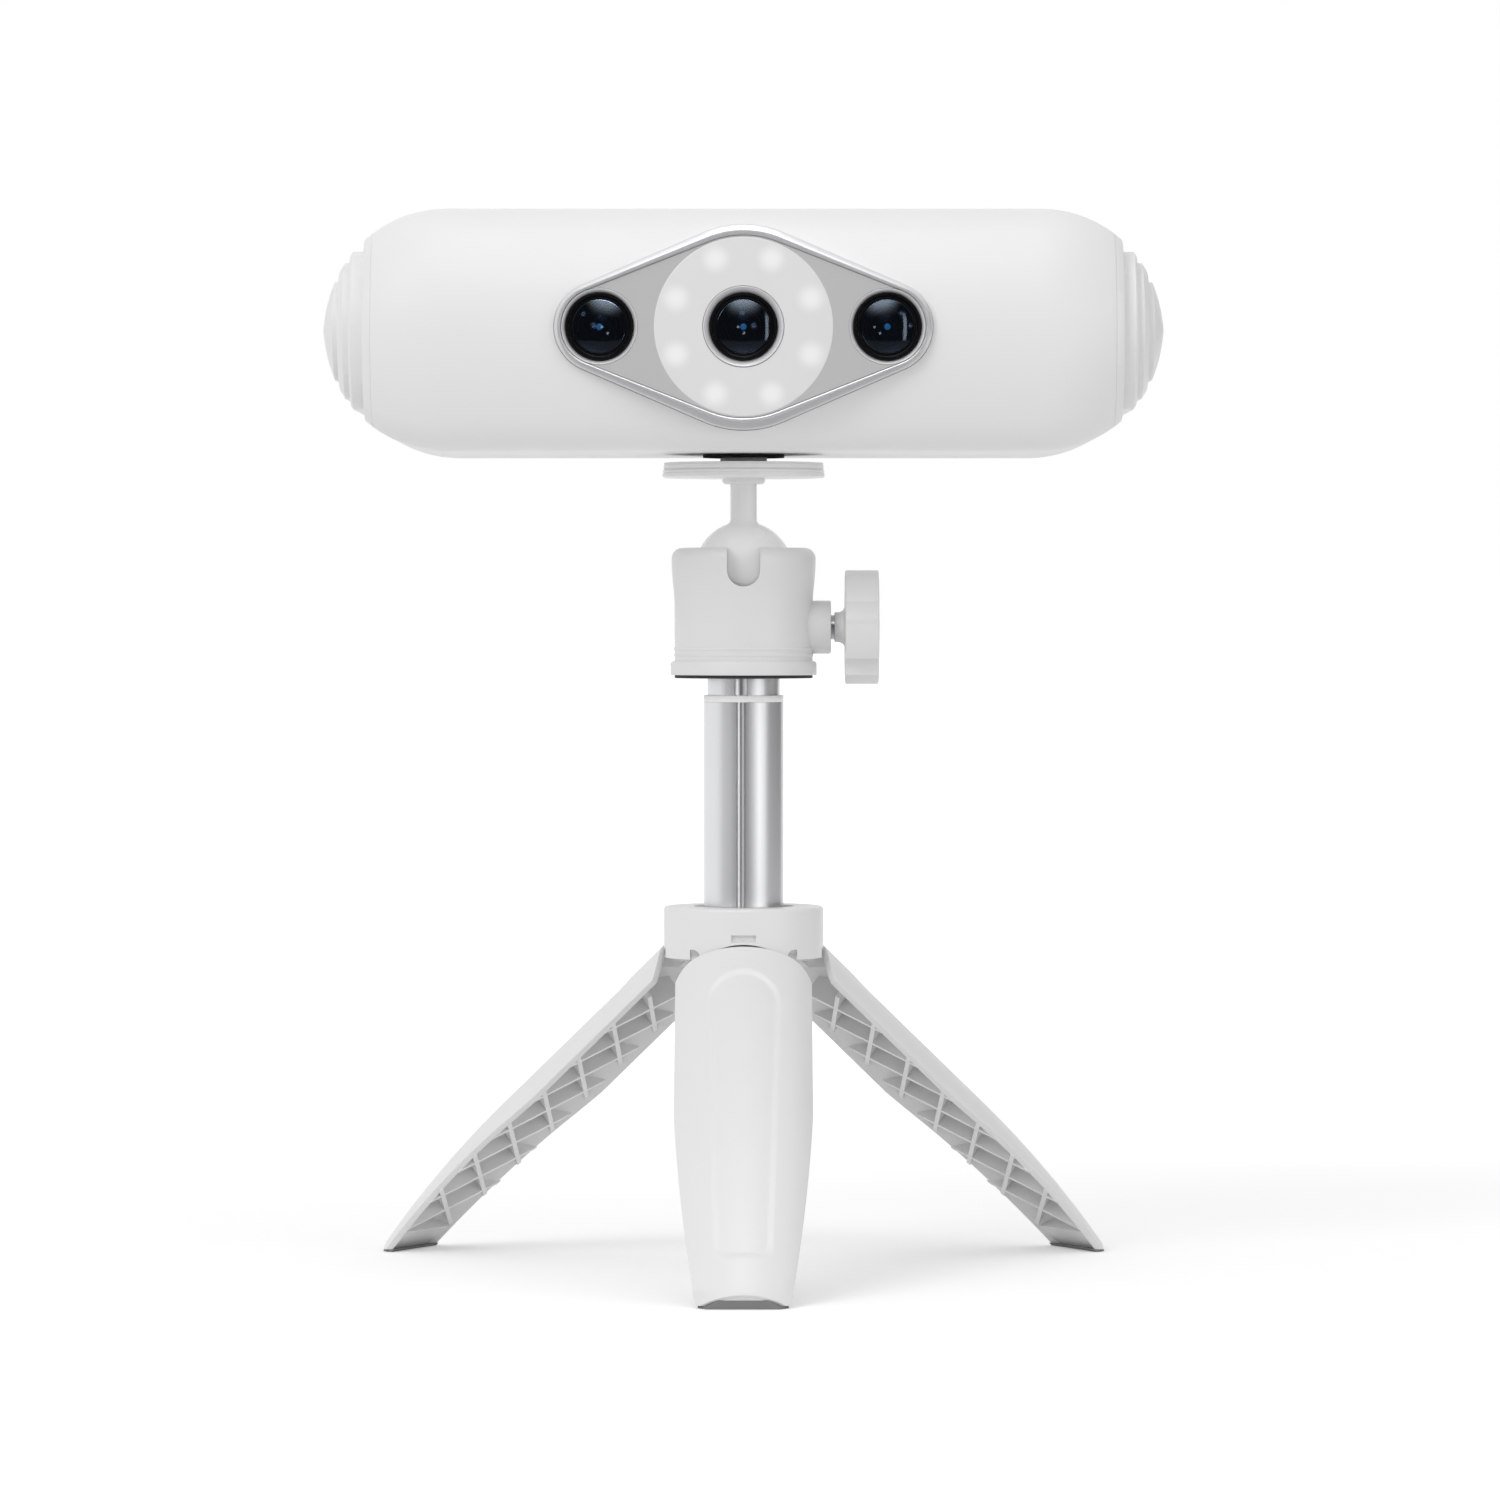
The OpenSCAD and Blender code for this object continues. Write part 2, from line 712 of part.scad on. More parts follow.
module head_housing() {
  at_column() color("#d6d6d4") difference() {
    union() {
      translate([0, 0, head_z]) rotate_extrude() intersection() {
        head_profile();
        square([head_r + 5, head_top - head_z]);
      }
      bar_x(knob_z, 5, head_r - 2, head_r + 2.85);
    }
    translate([0, 0, head_z - 1]) cylinder(r = ball_r + ease, h = ball_up + 1);
    translate([0, 0, ball_z]) sphere(r = ball_r + ease);
    translate([-stem_r - 0.6, -head_r - 5, ball_z]) cube([2 * stem_r + 1.2, head_r + 5, 10]);
    bar_y(0, ball_z, stem_r + 0.6, -head_r - 5, 0);
    bar_x(knob_z, screw_r + fit, 5, head_r + 5);
  }
}

module head_base() {
  at_column() color("#c9c9c7") ring(ball_r + ease, thread_r + fit, head_z, head_z + 5.6);
}

module ball_seat() {
  at_column() color("#f0efe8") difference() {
    translate([0, 0, head_z + 5.6]) cylinder(r = ball_r + ease - fit, h = ball_up - 10);
    translate([0, 0, ball_z]) sphere(r = ball_r + fit);
    bar_x(knob_z, screw_r + fit, 2.9, ball_r + 3);
  }
}

module clamp_shoe() {
  at_column() color("#b39a5a") difference() {
    bar_x(knob_z, screw_r, 2.9, ball_r - 0.6);
    translate([0, 0, ball_z]) sphere(r = ball_r + ease);
  }
}

module head_washer() {
  at_column() color("#4a4a4c") ring(head_r - 0.6, thread_r + 0.3, washer_z, head_z);
}

module clamp_screw() {
  at_column() color("#9a9da1") bar_x(knob_z, screw_r, ball_r - 0.4, head_r + 5.55 + knob_len - 2);
}

module clamp_knob() {
  x0 = head_r + 5.55;
  at_column() color("#dededc") difference() {
    union() {
      translate([x0, 0, knob_z]) rotate([0, 90, 0]) linear_extrude(knob_len) difference() {
        circle(r = knob_r);
        for (i = [0:knob_lobes - 1]) rotate(15 + i * 360 / knob_lobes)
          translate([knob_r + 2, 0]) circle(r = 3.1);
      }
      translate([x0 - 2, 0, knob_z]) rotate([0, 90, 0])
        cylinder(r1 = screw_r + 0.5, r2 = screw_r + 0.8, h = 2.1);
    }
    bar_x(knob_z, screw_r, x0 - 4, x0 + knob_len - 2);
  }
}

// Cross-section of a tube with its pressed groove at the front
module tube_section(r_out, r_in, g_in, g_out) {
  difference() {
    union() {
      difference() {
        circle(r = r_out);
        circle(r = r_in);
      }
      intersection() {
        rotate(groove_turn) translate([0, -groove_at]) circle(r = g_out);
        circle(r = r_out);
      }
    }
    rotate(groove_turn) translate([0, -groove_at]) circle(r = g_in);
  }
}

// A bar that stands in the groove's place, to give pieces inside a tube the room for it
module groove_room(r, z0, z1) {
  rotate([0, 0, groove_turn]) translate([0, -groove_at, z0]) cylinder(r = r, h = z1 - z0);
}

module upper_tube() {
  at_column() color("#c3c5c7") translate([0, 0, upper_end]) linear_extrude(washer_z - upper_end)
    tube_section(upper_r, upper_in, upper_groove_r, upper_groove_out);
}

module upper_plug() {
  at_column() color("#b5b7b9") difference() {
    union() {
      translate([0, 0, washer_z - plug_len]) cylinder(r = upper_in - snug, h = plug_len);
      translate([0, 0, washer_z - 1]) cylinder(r = thread_r, h = washer_t + 1 + 5);
    }
    groove_room(upper_groove_out + snug, washer_z - plug_len - 1, washer_z + 0.2);
  }
}

module upper_bush() {
  at_column() color("#efefe9") difference() {
    union() {
      translate([0, 0, upper_end - 2.4]) cylinder(r = tube_in - fit, h = 2.4);
      translate([0, 0, upper_end - 1]) cylinder(r = upper_in - snug, h = 6);
    }
    groove_room(upper_groove_out + snug, upper_end - 4, upper_end + 6);
    translate([0, 0, upper_end - 4]) cylinder(r = 3.6, h = 12);
  }
}

module tube_collar() {
  at_column() color("#ececea") translate([0, 0, collar_z]) linear_extrude(collar_h) difference() {
    circle(r = tube_r);
    circle(r = tube_in);
  }
}

module lower_tube() {
  at_column() color("#cbcdcf") difference() {
    translate([0, 0, lower_end]) linear_extrude(collar_z - lower_end)
      tube_section(tube_r, tube_in, groove_r, lower_groove_out);
    for (s = [-1, 1]) translate([s * (tube_r + dimple_r - dimple_depth), 0, collar_z - 4.4])
      sphere(r = dimple_r);
  }
}

module lower_bush() {
  at_column() color("#efefe9") difference() {
    translate([0, 0, lower_end - 0.8]) cylinder(r = stop_r, h = bush_foot - ease - lower_end + 0.8);
    difference() {
      translate([0, 0, lower_end]) cylinder(r = tube_r + snug, h = 4);
      translate([0, 0, lower_end - 1]) difference() {
        cylinder(r = tube_in - snug, h = 5);
        groove_room(lower_groove_out + snug, -1, 6);
      }
    }
    translate([0, 0, lower_end - 4]) cylinder(r = 4.6, h = 12);
  }
}

// Hub with three pairs of ears for the leg pins
module hub() {
  at_column() color("#e3e3e1") difference() {
    union() {
      difference() {
        translate([0, 0, hub_z]) rotate_extrude() {
          square([hub_r, hub_h - hub_round]);
          square([hub_r - hub_round, hub_h]);
          intersection() {
            translate([hub_r - hub_round, hub_h - hub_round]) circle(r = hub_round);
            square([hub_r, hub_h]);
          }
        }
        translate([0, 0, hub_z - 1]) cylinder(r = hub_r - 1.8, h = hub_h - 2.7);
      }
      for (a = [0, 120, 240], s = [0, 1]) rotate([0, 0, a]) mirror([s, 0, 0])
        slab_x(knuckle_w / 2 + ear_gap, knuckle_w / 2 + ear_gap + ear_t) {
          translate([-hinge_r, hinge_z]) circle(r = knuckle_r);
          translate([-hinge_r - 1.8, hinge_z]) square([3.7, hub_top - 3 - hinge_z]);
        }
    }
    translate([0, 0, hub_z - 1]) cylinder(r = bush_r, h = hub_h + 2);
    for (a = [0, 120, 240]) rotate([0, 0, a]) {
      bar_y(0, hub_z - 9.9, 12.85, -hub_r - 2, -hub_r + 2.1);
      translate([-2.3, -hub_r - 1, hub_z + 3.4]) cube([4.6, 1.8, 1.3]);
      translate([-knuckle_w / 2 - ear_gap + 0.05, -hub_r + 1, hub_z - 1])
        cube([knuckle_w + 2 * ear_gap - 0.1, 2, hinge_z - hub_z + knuckle_r + 1.3]);
      for (s = [0, 1]) mirror([s, 0, 0])
        translate([knuckle_w / 2 + ear_gap + ear_t + 0.2, -hub_r + 1, hub_z - 1]) cube([2.5, 2, 1.5]);
      translate([0, -hinge_r, hinge_z]) rotate([0, 90, 0]) cylinder(r = pin_r, h = 20, center = true);
    }
  }
}

module hub_bush() {
  at_column() color("#efefe9") ring(bush_r, tube_r + fit, bush_foot, hub_top - 0.6);
}

module leg_pins() {
  at_column() color("#9a9da1") for (a = [0, 120, 240]) rotate([0, 0, a])
    translate([0, -hinge_r, hinge_z]) rotate([0, 90, 0])
      cylinder(r = pin_r, h = knuckle_w + 2 * ear_gap + 2 * ear_t, center = true);
}

// Half profile of a closed leg from the column axis out to d inside its outer face
module leg_profile(d) {
  translate([0, leg_bend]) square([leg_r - d, leg_hi + 1 - leg_bend]);
  intersection() {
    translate([leg_r - leg_arc_r, leg_bend]) circle(r = leg_arc_r - d, $fn = 256);
    translate([0, leg_lo - 4]) square([leg_r, leg_bend - leg_lo + 4]);
  }
}

// A turned sector of the closed leg between two depths below its outer face
module leg_turned(d_out, d_in) {
  rotate([0, 0, -90 - leg_sector / 2]) rotate_extrude(angle = leg_sector) difference() {
    leg_profile(d_out);
    leg_profile(d_in);
  }
}

// The room inside a leg's shell that its ribs may fill, up to a plane in front of the column
module leg_rib_room() {
  intersection() {
    rotate([0, 0, -90 - leg_sector / 2]) rotate_extrude(angle = leg_sector) leg_profile(leg_wall - 0.3);
    translate([-leg_r, -leg_r - 1, leg_lo - 6]) cube([2 * leg_r, leg_r + 1 - rib_clear_r, leg_len + 10]);
  }
}

// Outline of a leg seen from outside, in X and Z
module leg_outline() {
  translate([-leg_w, leg_side_z]) square([2 * leg_w, leg_hi - 4.5 - leg_side_z]);
  translate([4.5 - leg_w, leg_side_z]) square([2 * leg_w - 9, leg_hi - leg_side_z]);
  for (s = [-1, 1]) translate([s * (leg_w - 4.5), leg_hi - 4.5]) circle(r = 4.5);
  intersection() {
    translate([leg_w - leg_side_r, leg_side_z]) circle(r = leg_side_r, $fn = 256);
    translate([leg_side_r - leg_w, leg_side_z]) circle(r = leg_side_r, $fn = 256);
    translate([-leg_w, leg_lo]) square([2 * leg_w, leg_side_z - leg_lo]);
  }
}

// The crossing ribs seen from outside, in X and Z
module rib_outline() {
  first = 14;
  count = floor((leg_len - first - 5) / rib_pitch);
  tilt = atan2(14.8, rib_pitch);
  for (i = [0:count], s = [-1, 1])
    translate([0, hinge_z - first - i * rib_pitch]) rotate(s * tilt)
      translate([-rib_t / 2, -13.5]) square([rib_t, i == 0 ? 20.5 : 27]);
}

module leg_closed() {
  difference() {
    union() {
      intersection() {
        union() {
          leg_turned(0, leg_wall);
          intersection() {
            leg_rib_room();
            slab_y(-leg_r - 1, 0) rib_outline();
          }
          intersection() {
            leg_rib_room();
            translate([-leg_w, -leg_r - 1, leg_lo - 1]) cube([2 * leg_w, leg_r, 7]);
          }
        }
        slab_y(-leg_r - 1, 0) leg_outline();
      }
      slab_x(-knuckle_w / 2, knuckle_w / 2) {
        translate([-hinge_r, hinge_z]) circle(r = knuckle_r);
        polygon([
          [-hinge_r + 1.8, hinge_z - 0.5], [-hinge_r, hinge_z], [-hinge_r - 1.7, hinge_z - 0.6],
          [-leg_r + 0.7, leg_hi], [-leg_r + 0.7, hinge_z - 7],
          [-leg_r + leg_wall + 0.6, hinge_z - 7], [-hinge_r + 1.8, hinge_z - 2.5]
        ]);
      }
    }
    translate([0, -hinge_r, hinge_z]) rotate([0, 90, 0])
      cylinder(r = pin_r + fit, h = knuckle_w + 2, center = true);
    leg_ear_room(1);
    leg_ear_room(-1);
    intersection() {
      leg_turned(-1, 0.4);
      slab_y(-leg_r - 2, 0) leg_panel_outline();
    }
  }
}

// Room in a leg's shell for the ears of the hub
module leg_ear_room(s) {
  e = knuckle_w / 2;
  intersection() {
    cylinder(r = leg_r - 0.8, h = hinge_z + 10);
    translate([s > 0 ? e : -e - 3.4, -leg_r, hinge_z - 4.4]) cube([3.4, leg_r, 6]);
  }
}

// The shallow panel on a leg's outside, in X and Z
module leg_panel_outline() {
  top = hinge_z - 14.6;
  low = leg_lo + 11.6;
  polygon([[-6.75, top], [6.75, top], [5.1, low], [-5.1, low]]);
  translate([0, top]) intersection() {
    circle(r = 6.75);
    translate([-7, 0]) square([14, 7]);
  }
  for (s = [-1, 1]) translate([s * 2.1, low]) circle(r = 3);
  translate([-2.1, low - 3]) square([4.2, 3.1]);
}

// Takes a closed leg's shapes to the spread leg at one of the three places
module spread_out(a) {
  rotate([0, 0, a]) translate([0, -hinge_r, hinge_z]) rotate([-spread, 0, 0])
    translate([0, hinge_r, -hinge_z]) children();
}

module leg_at(a) {
  at_column() color("#e6e6e4") difference() {
    spread_out(a) leg_closed();
    rotate([0, 0, a]) translate([-30, -foot_r - 30, sole_t - 20]) cube([60, 60, 20]);
  }
}

// The foot sole under a leg, flat on the floor
module foot_at(a) {
  at_column() color("#8f8f8f") intersection() {
    spread_out(a) intersection() {
      rotate([0, 0, -90 - leg_sector / 2 + 3]) rotate_extrude(angle = leg_sector - 6)
        translate([2, leg_lo - 8]) square([leg_end_r - 2.5, 16]);
      translate([-leg_r, -leg_r - 1, leg_lo - 9]) cube([2 * leg_r, leg_r + 2 - rib_clear_r, 18]);
    }
    rotate([0, 0, a]) union() {
      translate([-foot_w, -foot_r, 0]) cube([2 * foot_w, 30, sole_t]);
      intersection() {
        translate([-foot_w, -foot_r, 0]) cube([2 * foot_w, 30, 6]);
        spread_out(0) translate([-30, -60, leg_lo - 20]) cube([60, 60, 20]);
      }
    }
  }
}

module leg_front() {
  leg_at(0);
}

module leg_right() {
  leg_at(120);
}

module leg_left() {
  leg_at(240);
}

module foot_front() {
  foot_at(0);
}

module foot_right() {
  foot_at(120);
}

module foot_left() {
  foot_at(240);
}

front_shell();
rear_shell();
left_end_cap();
right_end_cap();
lens_bezel();
lens_panel();
ring_light();
ring_board();
ring_lamps();
projector_trim();
camera_trims();
projector_barrel();
left_camera_barrel();
right_camera_barrel();
projector_lens();
left_camera_lens();
right_camera_lens();
optical_frame();
camera_boards();
projector_body();
heat_sink();
frame_screws();
main_board();
board_screws();
rear_port();
button_switch();
status_light();
scan_button();
tripod_insert();
tripod_pad();
top_plate();
plate_pad();
mounting_screw();
ball_stud();
head_housing();
head_base();
ball_seat();
clamp_shoe();
head_washer();
clamp_knob();
clamp_screw();
upper_tube();
upper_plug();
upper_bush();
tube_collar();
lower_tube();
lower_bush();
hub();
hub_bush();
leg_pins();
leg_front();
leg_left();
leg_right();
foot_front();
foot_left();
foot_right();
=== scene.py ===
"""Looks of a three-d scanner that stands on a ball head, a sliding column and folding tripod legs."""
import json
import logging
import math
from dataclasses import dataclass
from enum import Enum
from typing import Iterable, Optional, Sequence

import bmesh
import bpy
from mathutils import Matrix, Vector


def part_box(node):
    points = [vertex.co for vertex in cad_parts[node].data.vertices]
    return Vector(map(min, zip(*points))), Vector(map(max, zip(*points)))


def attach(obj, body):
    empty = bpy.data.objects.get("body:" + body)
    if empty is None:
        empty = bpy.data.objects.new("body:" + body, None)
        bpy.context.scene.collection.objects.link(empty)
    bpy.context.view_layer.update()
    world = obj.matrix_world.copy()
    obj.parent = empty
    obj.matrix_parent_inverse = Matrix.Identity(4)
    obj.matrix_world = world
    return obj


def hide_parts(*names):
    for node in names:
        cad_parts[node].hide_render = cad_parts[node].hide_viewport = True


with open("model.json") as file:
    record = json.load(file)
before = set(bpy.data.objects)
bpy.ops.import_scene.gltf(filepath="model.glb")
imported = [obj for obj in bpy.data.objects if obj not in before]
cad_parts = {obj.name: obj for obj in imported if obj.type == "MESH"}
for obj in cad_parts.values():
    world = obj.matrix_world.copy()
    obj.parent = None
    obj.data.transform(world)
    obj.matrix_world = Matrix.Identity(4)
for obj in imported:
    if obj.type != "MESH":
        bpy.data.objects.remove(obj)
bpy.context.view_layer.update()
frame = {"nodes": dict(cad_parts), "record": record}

logging.basicConfig(level=logging.INFO, format="%(name)s: %(message)s")
LOG = logging.getLogger("scanner")
MM = 0.001
BODY_MID_Z = 175.4  # height of the scanner body's middle, in millimetres
BODY_HALF_D = 41.0  # half of its depth
WHITE = (1.0, 1.0, 1.0, 1.0)
AXES = {"X": Vector((1, 0, 0)), "Y": Vector((0, 1, 0)), "Z": Vector((0, 0, 1))}
BODY_OF = {node: body for body, nodes in frame["record"]["behaviour"]["bodies"].items() for node in nodes}

Colour = tuple[float, float, float]
Point = tuple[float, float]
Place = Sequence[float]
Mesh = bmesh.types.BMesh
Vert = bmesh.types.BMVert
Edge = bmesh.types.BMEdge
Node = bpy.types.Node
Socket = bpy.types.NodeSocket


@dataclass
class Wiring:
    """Adds nodes to one tree and wires them up.

    Args:
        tree: The tree of a material or of the world.
    """

    tree: bpy.types.NodeTree

    def feed(self, node: Node, values: dict[object, object]) -> Node:
        """Sets or wires inputs of a node.

        Args:
            node: The node.
            values: A plain value or a socket for each input, by its name or number.

        Returns:
            The same node.
        """
        for key, value in values.items():
            if isinstance(value, Socket):
                self.tree.links.new(value, node.inputs[key])
            else:
                node.inputs[key].default_value = value
        return node

    def add(self, kind: str, values: dict[object, object], **settings: str) -> Node:
        """Adds a node.

        Args:
            kind: Type of the node, without the words that all types share.
            values: Its inputs, as feed takes them.
            settings: Its settings.

        Returns:
            The node.
        """
        node = self.tree.nodes.new("ShaderNode" + kind)
        for name, setting in settings.items():
            setattr(node, name, setting)
        return self.feed(node, values)

    def reckon(self, kind: str, *values: object) -> Socket:
        """Adds one step of arithmetic and gives its result."""
        return self.add("Math", dict(enumerate(values)), operation=kind).outputs["Value"]

    def length(self, one: Socket, two: Socket) -> Socket:
        """Length that two values at right angles give."""
        squares = [self.reckon("MULTIPLY", value, value) for value in (one, two)]
        return self.reckon("SQRT", self.reckon("ADD", *squares))

    def ramp(self, value: Socket, run: Point, levels: Point, soft: bool = False) -> Socket:
        """Goes from one level to another with a value.

        Args:
            value: The value.
            run: Where the change starts and ends.
            levels: Level at the start and at the end.
            soft: Whether the change eases in and out.

        Returns:
            The level.
        """
        inputs = dict(zip(("From Min", "From Max", "To Min", "To Max"), (*run, *levels)), Value=value)
        shape = "SMOOTHSTEP" if soft else "LINEAR"
        return self.add("MapRange", inputs, interpolation_type=shape).outputs["Result"]

    def noise(self, place: Socket, scale: float, detail: float) -> Socket:
        """Noise with a number of patches per metre."""
        return self.add("TexNoise", {"Vector": place, "Scale": scale, "Detail": detail}).outputs["Fac"]

    def place(self) -> Socket:
        """Place on the object itself."""
        return self.add("TexCoord", {}).outputs["Object"]

    def seen(self) -> Socket:
        """Tells a look from the camera, a mirror or a glass from light on the object.

        Returns:
            A value that is 1 for a look and 0 for light.
        """
        path = self.add("LightPath", {}).outputs
        shown = self.reckon("MAXIMUM", path["Is Camera Ray"], path["Is Glossy Ray"])
        return self.reckon("MAXIMUM", shown, path["Is Transmission Ray"])

    def surface(self, shader: Socket, output: str = "Material Output") -> None:
        """Shows a shader through the tree's output."""
        self.feed(self.tree.nodes[output], {"Surface": shader})


class Grain(Enum):
    """Kind of fine surface, by the scale of its grain along each axis."""

    MOULDED = (1.0, 1.0, 1.0)
    DRAWN = (1.0, 1.0, 0.01)
    TURNED = (0.2, 1.0, 0.2)


@dataclass(frozen=True)
class Finish:
    """One finish of the object, made as a material of nodes.

    Args:
        name: Name of the material.
        colour: Linear base colour.
        roughness: Mean roughness.
        grain: Kind of fine surface.
        metallic: 1 for bare metal.
        tone: Share by which the colour wanders over the surface.
        rough_span: How far the roughness wanders to each side.
        grain_scale: Grains per metre.
        grain_depth: Depth of the grain in millimetres.
        bump: Strength of the grain.
        coat: Weight of a clear coat.
        specular: Specular level.
        painted_glint: Strength of a painted glint: the surface glows in its own colour though it is no lamp.
        tone_scale: Patches of colour per metre.
        wear_scale: Patches of roughness per metre.
    """

    name: str
    colour: Colour
    roughness: float
    grain: Grain = Grain.MOULDED
    metallic: float = 0.0
    tone: float = 0.02
    rough_span: float = 0.05
    grain_scale: float = 3200.0
    grain_depth: float = 0.02
    bump: float = 0.12
    coat: float = 0.0
    specular: float = 0.5
    painted_glint: float = 0.0
    tone_scale: float = 38.0
    wear_scale: float = 190.0

    def material(self) -> bpy.types.Material:
        """Makes the material once and gives it again after that.

        Returns:
            The material.
        """
        mat = bpy.data.materials.get(self.name)
        if mat is None:
            mat = bpy.data.materials.new(self.name)
            mat.use_nodes = True
            self.wire(Wiring(mat.node_tree), mat.node_tree.nodes["Principled BSDF"])
        return mat

    def wire(self, tree: Wiring, shader: Node) -> None:
        """Gives the shader its colour, roughness and grain.

        Args:
            tree: Wiring of the material.
            shader: Its shader.
        """
        place = tree.place()
        patches = tree.noise(place, self.tone_scale, 4.0)
        low = (*(c * (1 - self.tone) for c in self.colour), 1)
        high = (*(min(1.0, c * (1 + self.tone)) for c in self.colour), 1)
        colour = tree.add("Mix", {"Factor": patches, "A": low, "B": high}, data_type="RGBA").outputs["Result"]
        along = tree.add("Mapping", {"Vector": place, "Scale": self.grain.value}).outputs["Vector"]
        fine = tree.noise(along, self.grain_scale, 2.0)
        bump = tree.add("Bump", {"Height": fine, "Strength": self.bump, "Distance": self.grain_depth * MM})
        worn = tree.noise(along, self.wear_scale, 5.0)
        levels = (max(0.02, self.roughness - self.rough_span), self.roughness + self.rough_span)
        tree.feed(shader, {
            "Base Color": colour, "Roughness": tree.ramp(worn, (0.3, 0.7), levels), "Metallic": self.metallic,
            "Normal": bump.outputs["Normal"], "Specular IOR Level": self.specular, "Coat Weight": self.coat,
            "Coat Roughness": 0.08,
        })
        # Painted glint: the surface glows in its own colour, standing in for a bright reflection; it is no
        # lamp.
        if self.painted_glint:
            tree.feed(shader, {"Emission Color": colour, "Emission Strength": self.painted_glint})


@dataclass(frozen=True)
class LampField(Finish):
    """White diffuser with the soft spots of the lamps behind it.

    Args:
        centre: Middle of the ring, in metres.
        spot_at: Radius of the circle of lamps, in millimetres.
        spot_r: Where a spot starts to fade and where it has faded out, in millimetres.
        count: Number of lamps.
        glow: Light that a spot gives.
    """

    centre: tuple[float, float, float] = (0.0, 0.0, BODY_MID_Z * MM)
    spot_at: float = 13.3
    spot_r: Point = (0.5, 3.3)
    count: int = 8
    glow: float = 0.14

    def wire(self, tree: Wiring, shader: Node) -> None:
        """Wires the plain finish and the glow of the spots.

        Args:
            tree: Wiring of the material.
            shader: Its shader.
        """
        super().wire(tree, shader)
        moved = tree.add("Mapping", {"Vector": tree.place(), "Location": tuple(-c for c in self.centre)})
        parts = tree.add("SeparateXYZ", {"Vector": moved.outputs["Vector"]}).outputs
        pitch = math.tau / self.count
        turn = tree.reckon("ADD", tree.reckon("ARCTAN2", parts["Z"], parts["X"]), math.tau)
        off = tree.reckon("SUBTRACT", tree.reckon("FLOORED_MODULO", turn, pitch), pitch / 2)
        out = tree.length(parts["X"], parts["Z"])
        ahead = tree.reckon("MULTIPLY", out, tree.reckon("COSINE", off))
        along = tree.reckon("SUBTRACT", ahead, self.spot_at * MM)
        across = tree.reckon("MULTIPLY", out, tree.reckon("SINE", off))
        fade = tuple(r * MM for r in self.spot_r)
        spots = tree.ramp(tree.length(along, across), fade, (self.glow, 0.0), True)
        tree.feed(shader, {"Emission Color": WHITE, "Emission Strength": spots})


@dataclass(frozen=True)
class CoatedGlass(Finish):
    """Clear coated glass of a lens.

    Args:
        ior: Refractive index.
        tint: Colour that the coat gives to what the glass mirrors.
    """

    ior: float = 1.6
    tint: Colour = (0.66, 0.80, 1.0)

    def wire(self, tree: Wiring, shader: Node) -> None:
        """Wires the plain finish and lets light through."""
        super().wire(tree, shader)
        tree.feed(shader, {"Transmission Weight": 1.0, "IOR": self.ior, "Specular Tint": (*self.tint, 1.0)})


def grey(value: int) -> Colour:
    """Linear colour of a neutral screen grey.

    Args:
        value: Screen value from 0 to 255.

    Returns:
        The linear colour.
    """
    s = value / 255
    lin = s / 12.92 if s <= 0.04045 else ((s + 0.055) / 1.055) ** 2.4
    return (lin, lin, lin)


BODY_WHITE = Finish("body_white", grey(236), 0.42, grain_scale=2600, bump=0.10, tone=0.012, specular=0.25)
CAP_WHITE = Finish("cap_white", grey(235), 0.40, grain_scale=2600, bump=0.08, tone=0.012, specular=0.25)
BEZEL_SILVER = Finish("bezel_silver", (0.66, 0.665, 0.675), 0.32, metallic=0.5, bump=0.0, tone=0.01,
                      rough_span=0.01)
TRIM_SILVER = Finish("trim_silver", (0.84, 0.84, 0.85), 0.36, Grain.TURNED, metallic=0.35, bump=0.03)
PANEL_GREY = Finish("panel_paint", grey(190), 0.42, grain_scale=3800, bump=0.08, specular=0.2)
BARREL_BLACK = Finish("barrel_coat", (0.003, 0.003, 0.0035), 0.32, Grain.TURNED, bump=0.06, tone=0.1,
                      specular=0.14)
BOARD_GREEN = Finish("board_green", (0.030, 0.110, 0.060), 0.45, tone=0.12, coat=0.3)
LAMP_YELLOW = Finish("lamp_yellow", (0.90, 0.82, 0.45), 0.30, tone=0.05)
FRAME_CAST = Finish("frame_cast", (0.42, 0.43, 0.45), 0.45, metallic=1.0, tone=0.05, bump=0.3)
STEEL = Finish("plain_steel", (0.50, 0.51, 0.53), 0.30, Grain.TURNED, metallic=1.0, tone=0.04)
BRASS = Finish("turned_brass", (0.60, 0.43, 0.16), 0.28, Grain.TURNED, metallic=1.0, tone=0.05)
SWITCH_BLACK = Finish("switch_case", (0.018, 0.018, 0.020), 0.5, tone=0.08)
STATUS_PALE = Finish("status_pale", (0.62, 0.78, 0.66), 0.22, tone=0.03, coat=0.4)
BUTTON_GREY = Finish("button_satin", grey(212), 0.38, tone=0.015)
PAD_RUBBER = Finish("pad_rubber", (0.035, 0.035, 0.037), 0.75, bump=0.35, grain_depth=0.05, tone=0.1)
HEAD_WHITE = Finish("head_white", grey(226), 0.40, grain_scale=2800, tone=0.015)
KNOB_WHITE = Finish("knob_white", grey(226), 0.42, grain_scale=2800, tone=0.015)
# Ball and stem: a white painted lighter than the head's, as painted light that makes up for the shade under
# the body.
BALL_WHITE_PAINTED_LIGHT = Finish("ball_white_painted_light", grey(247), 0.24, bump=0.04, tone=0.01)
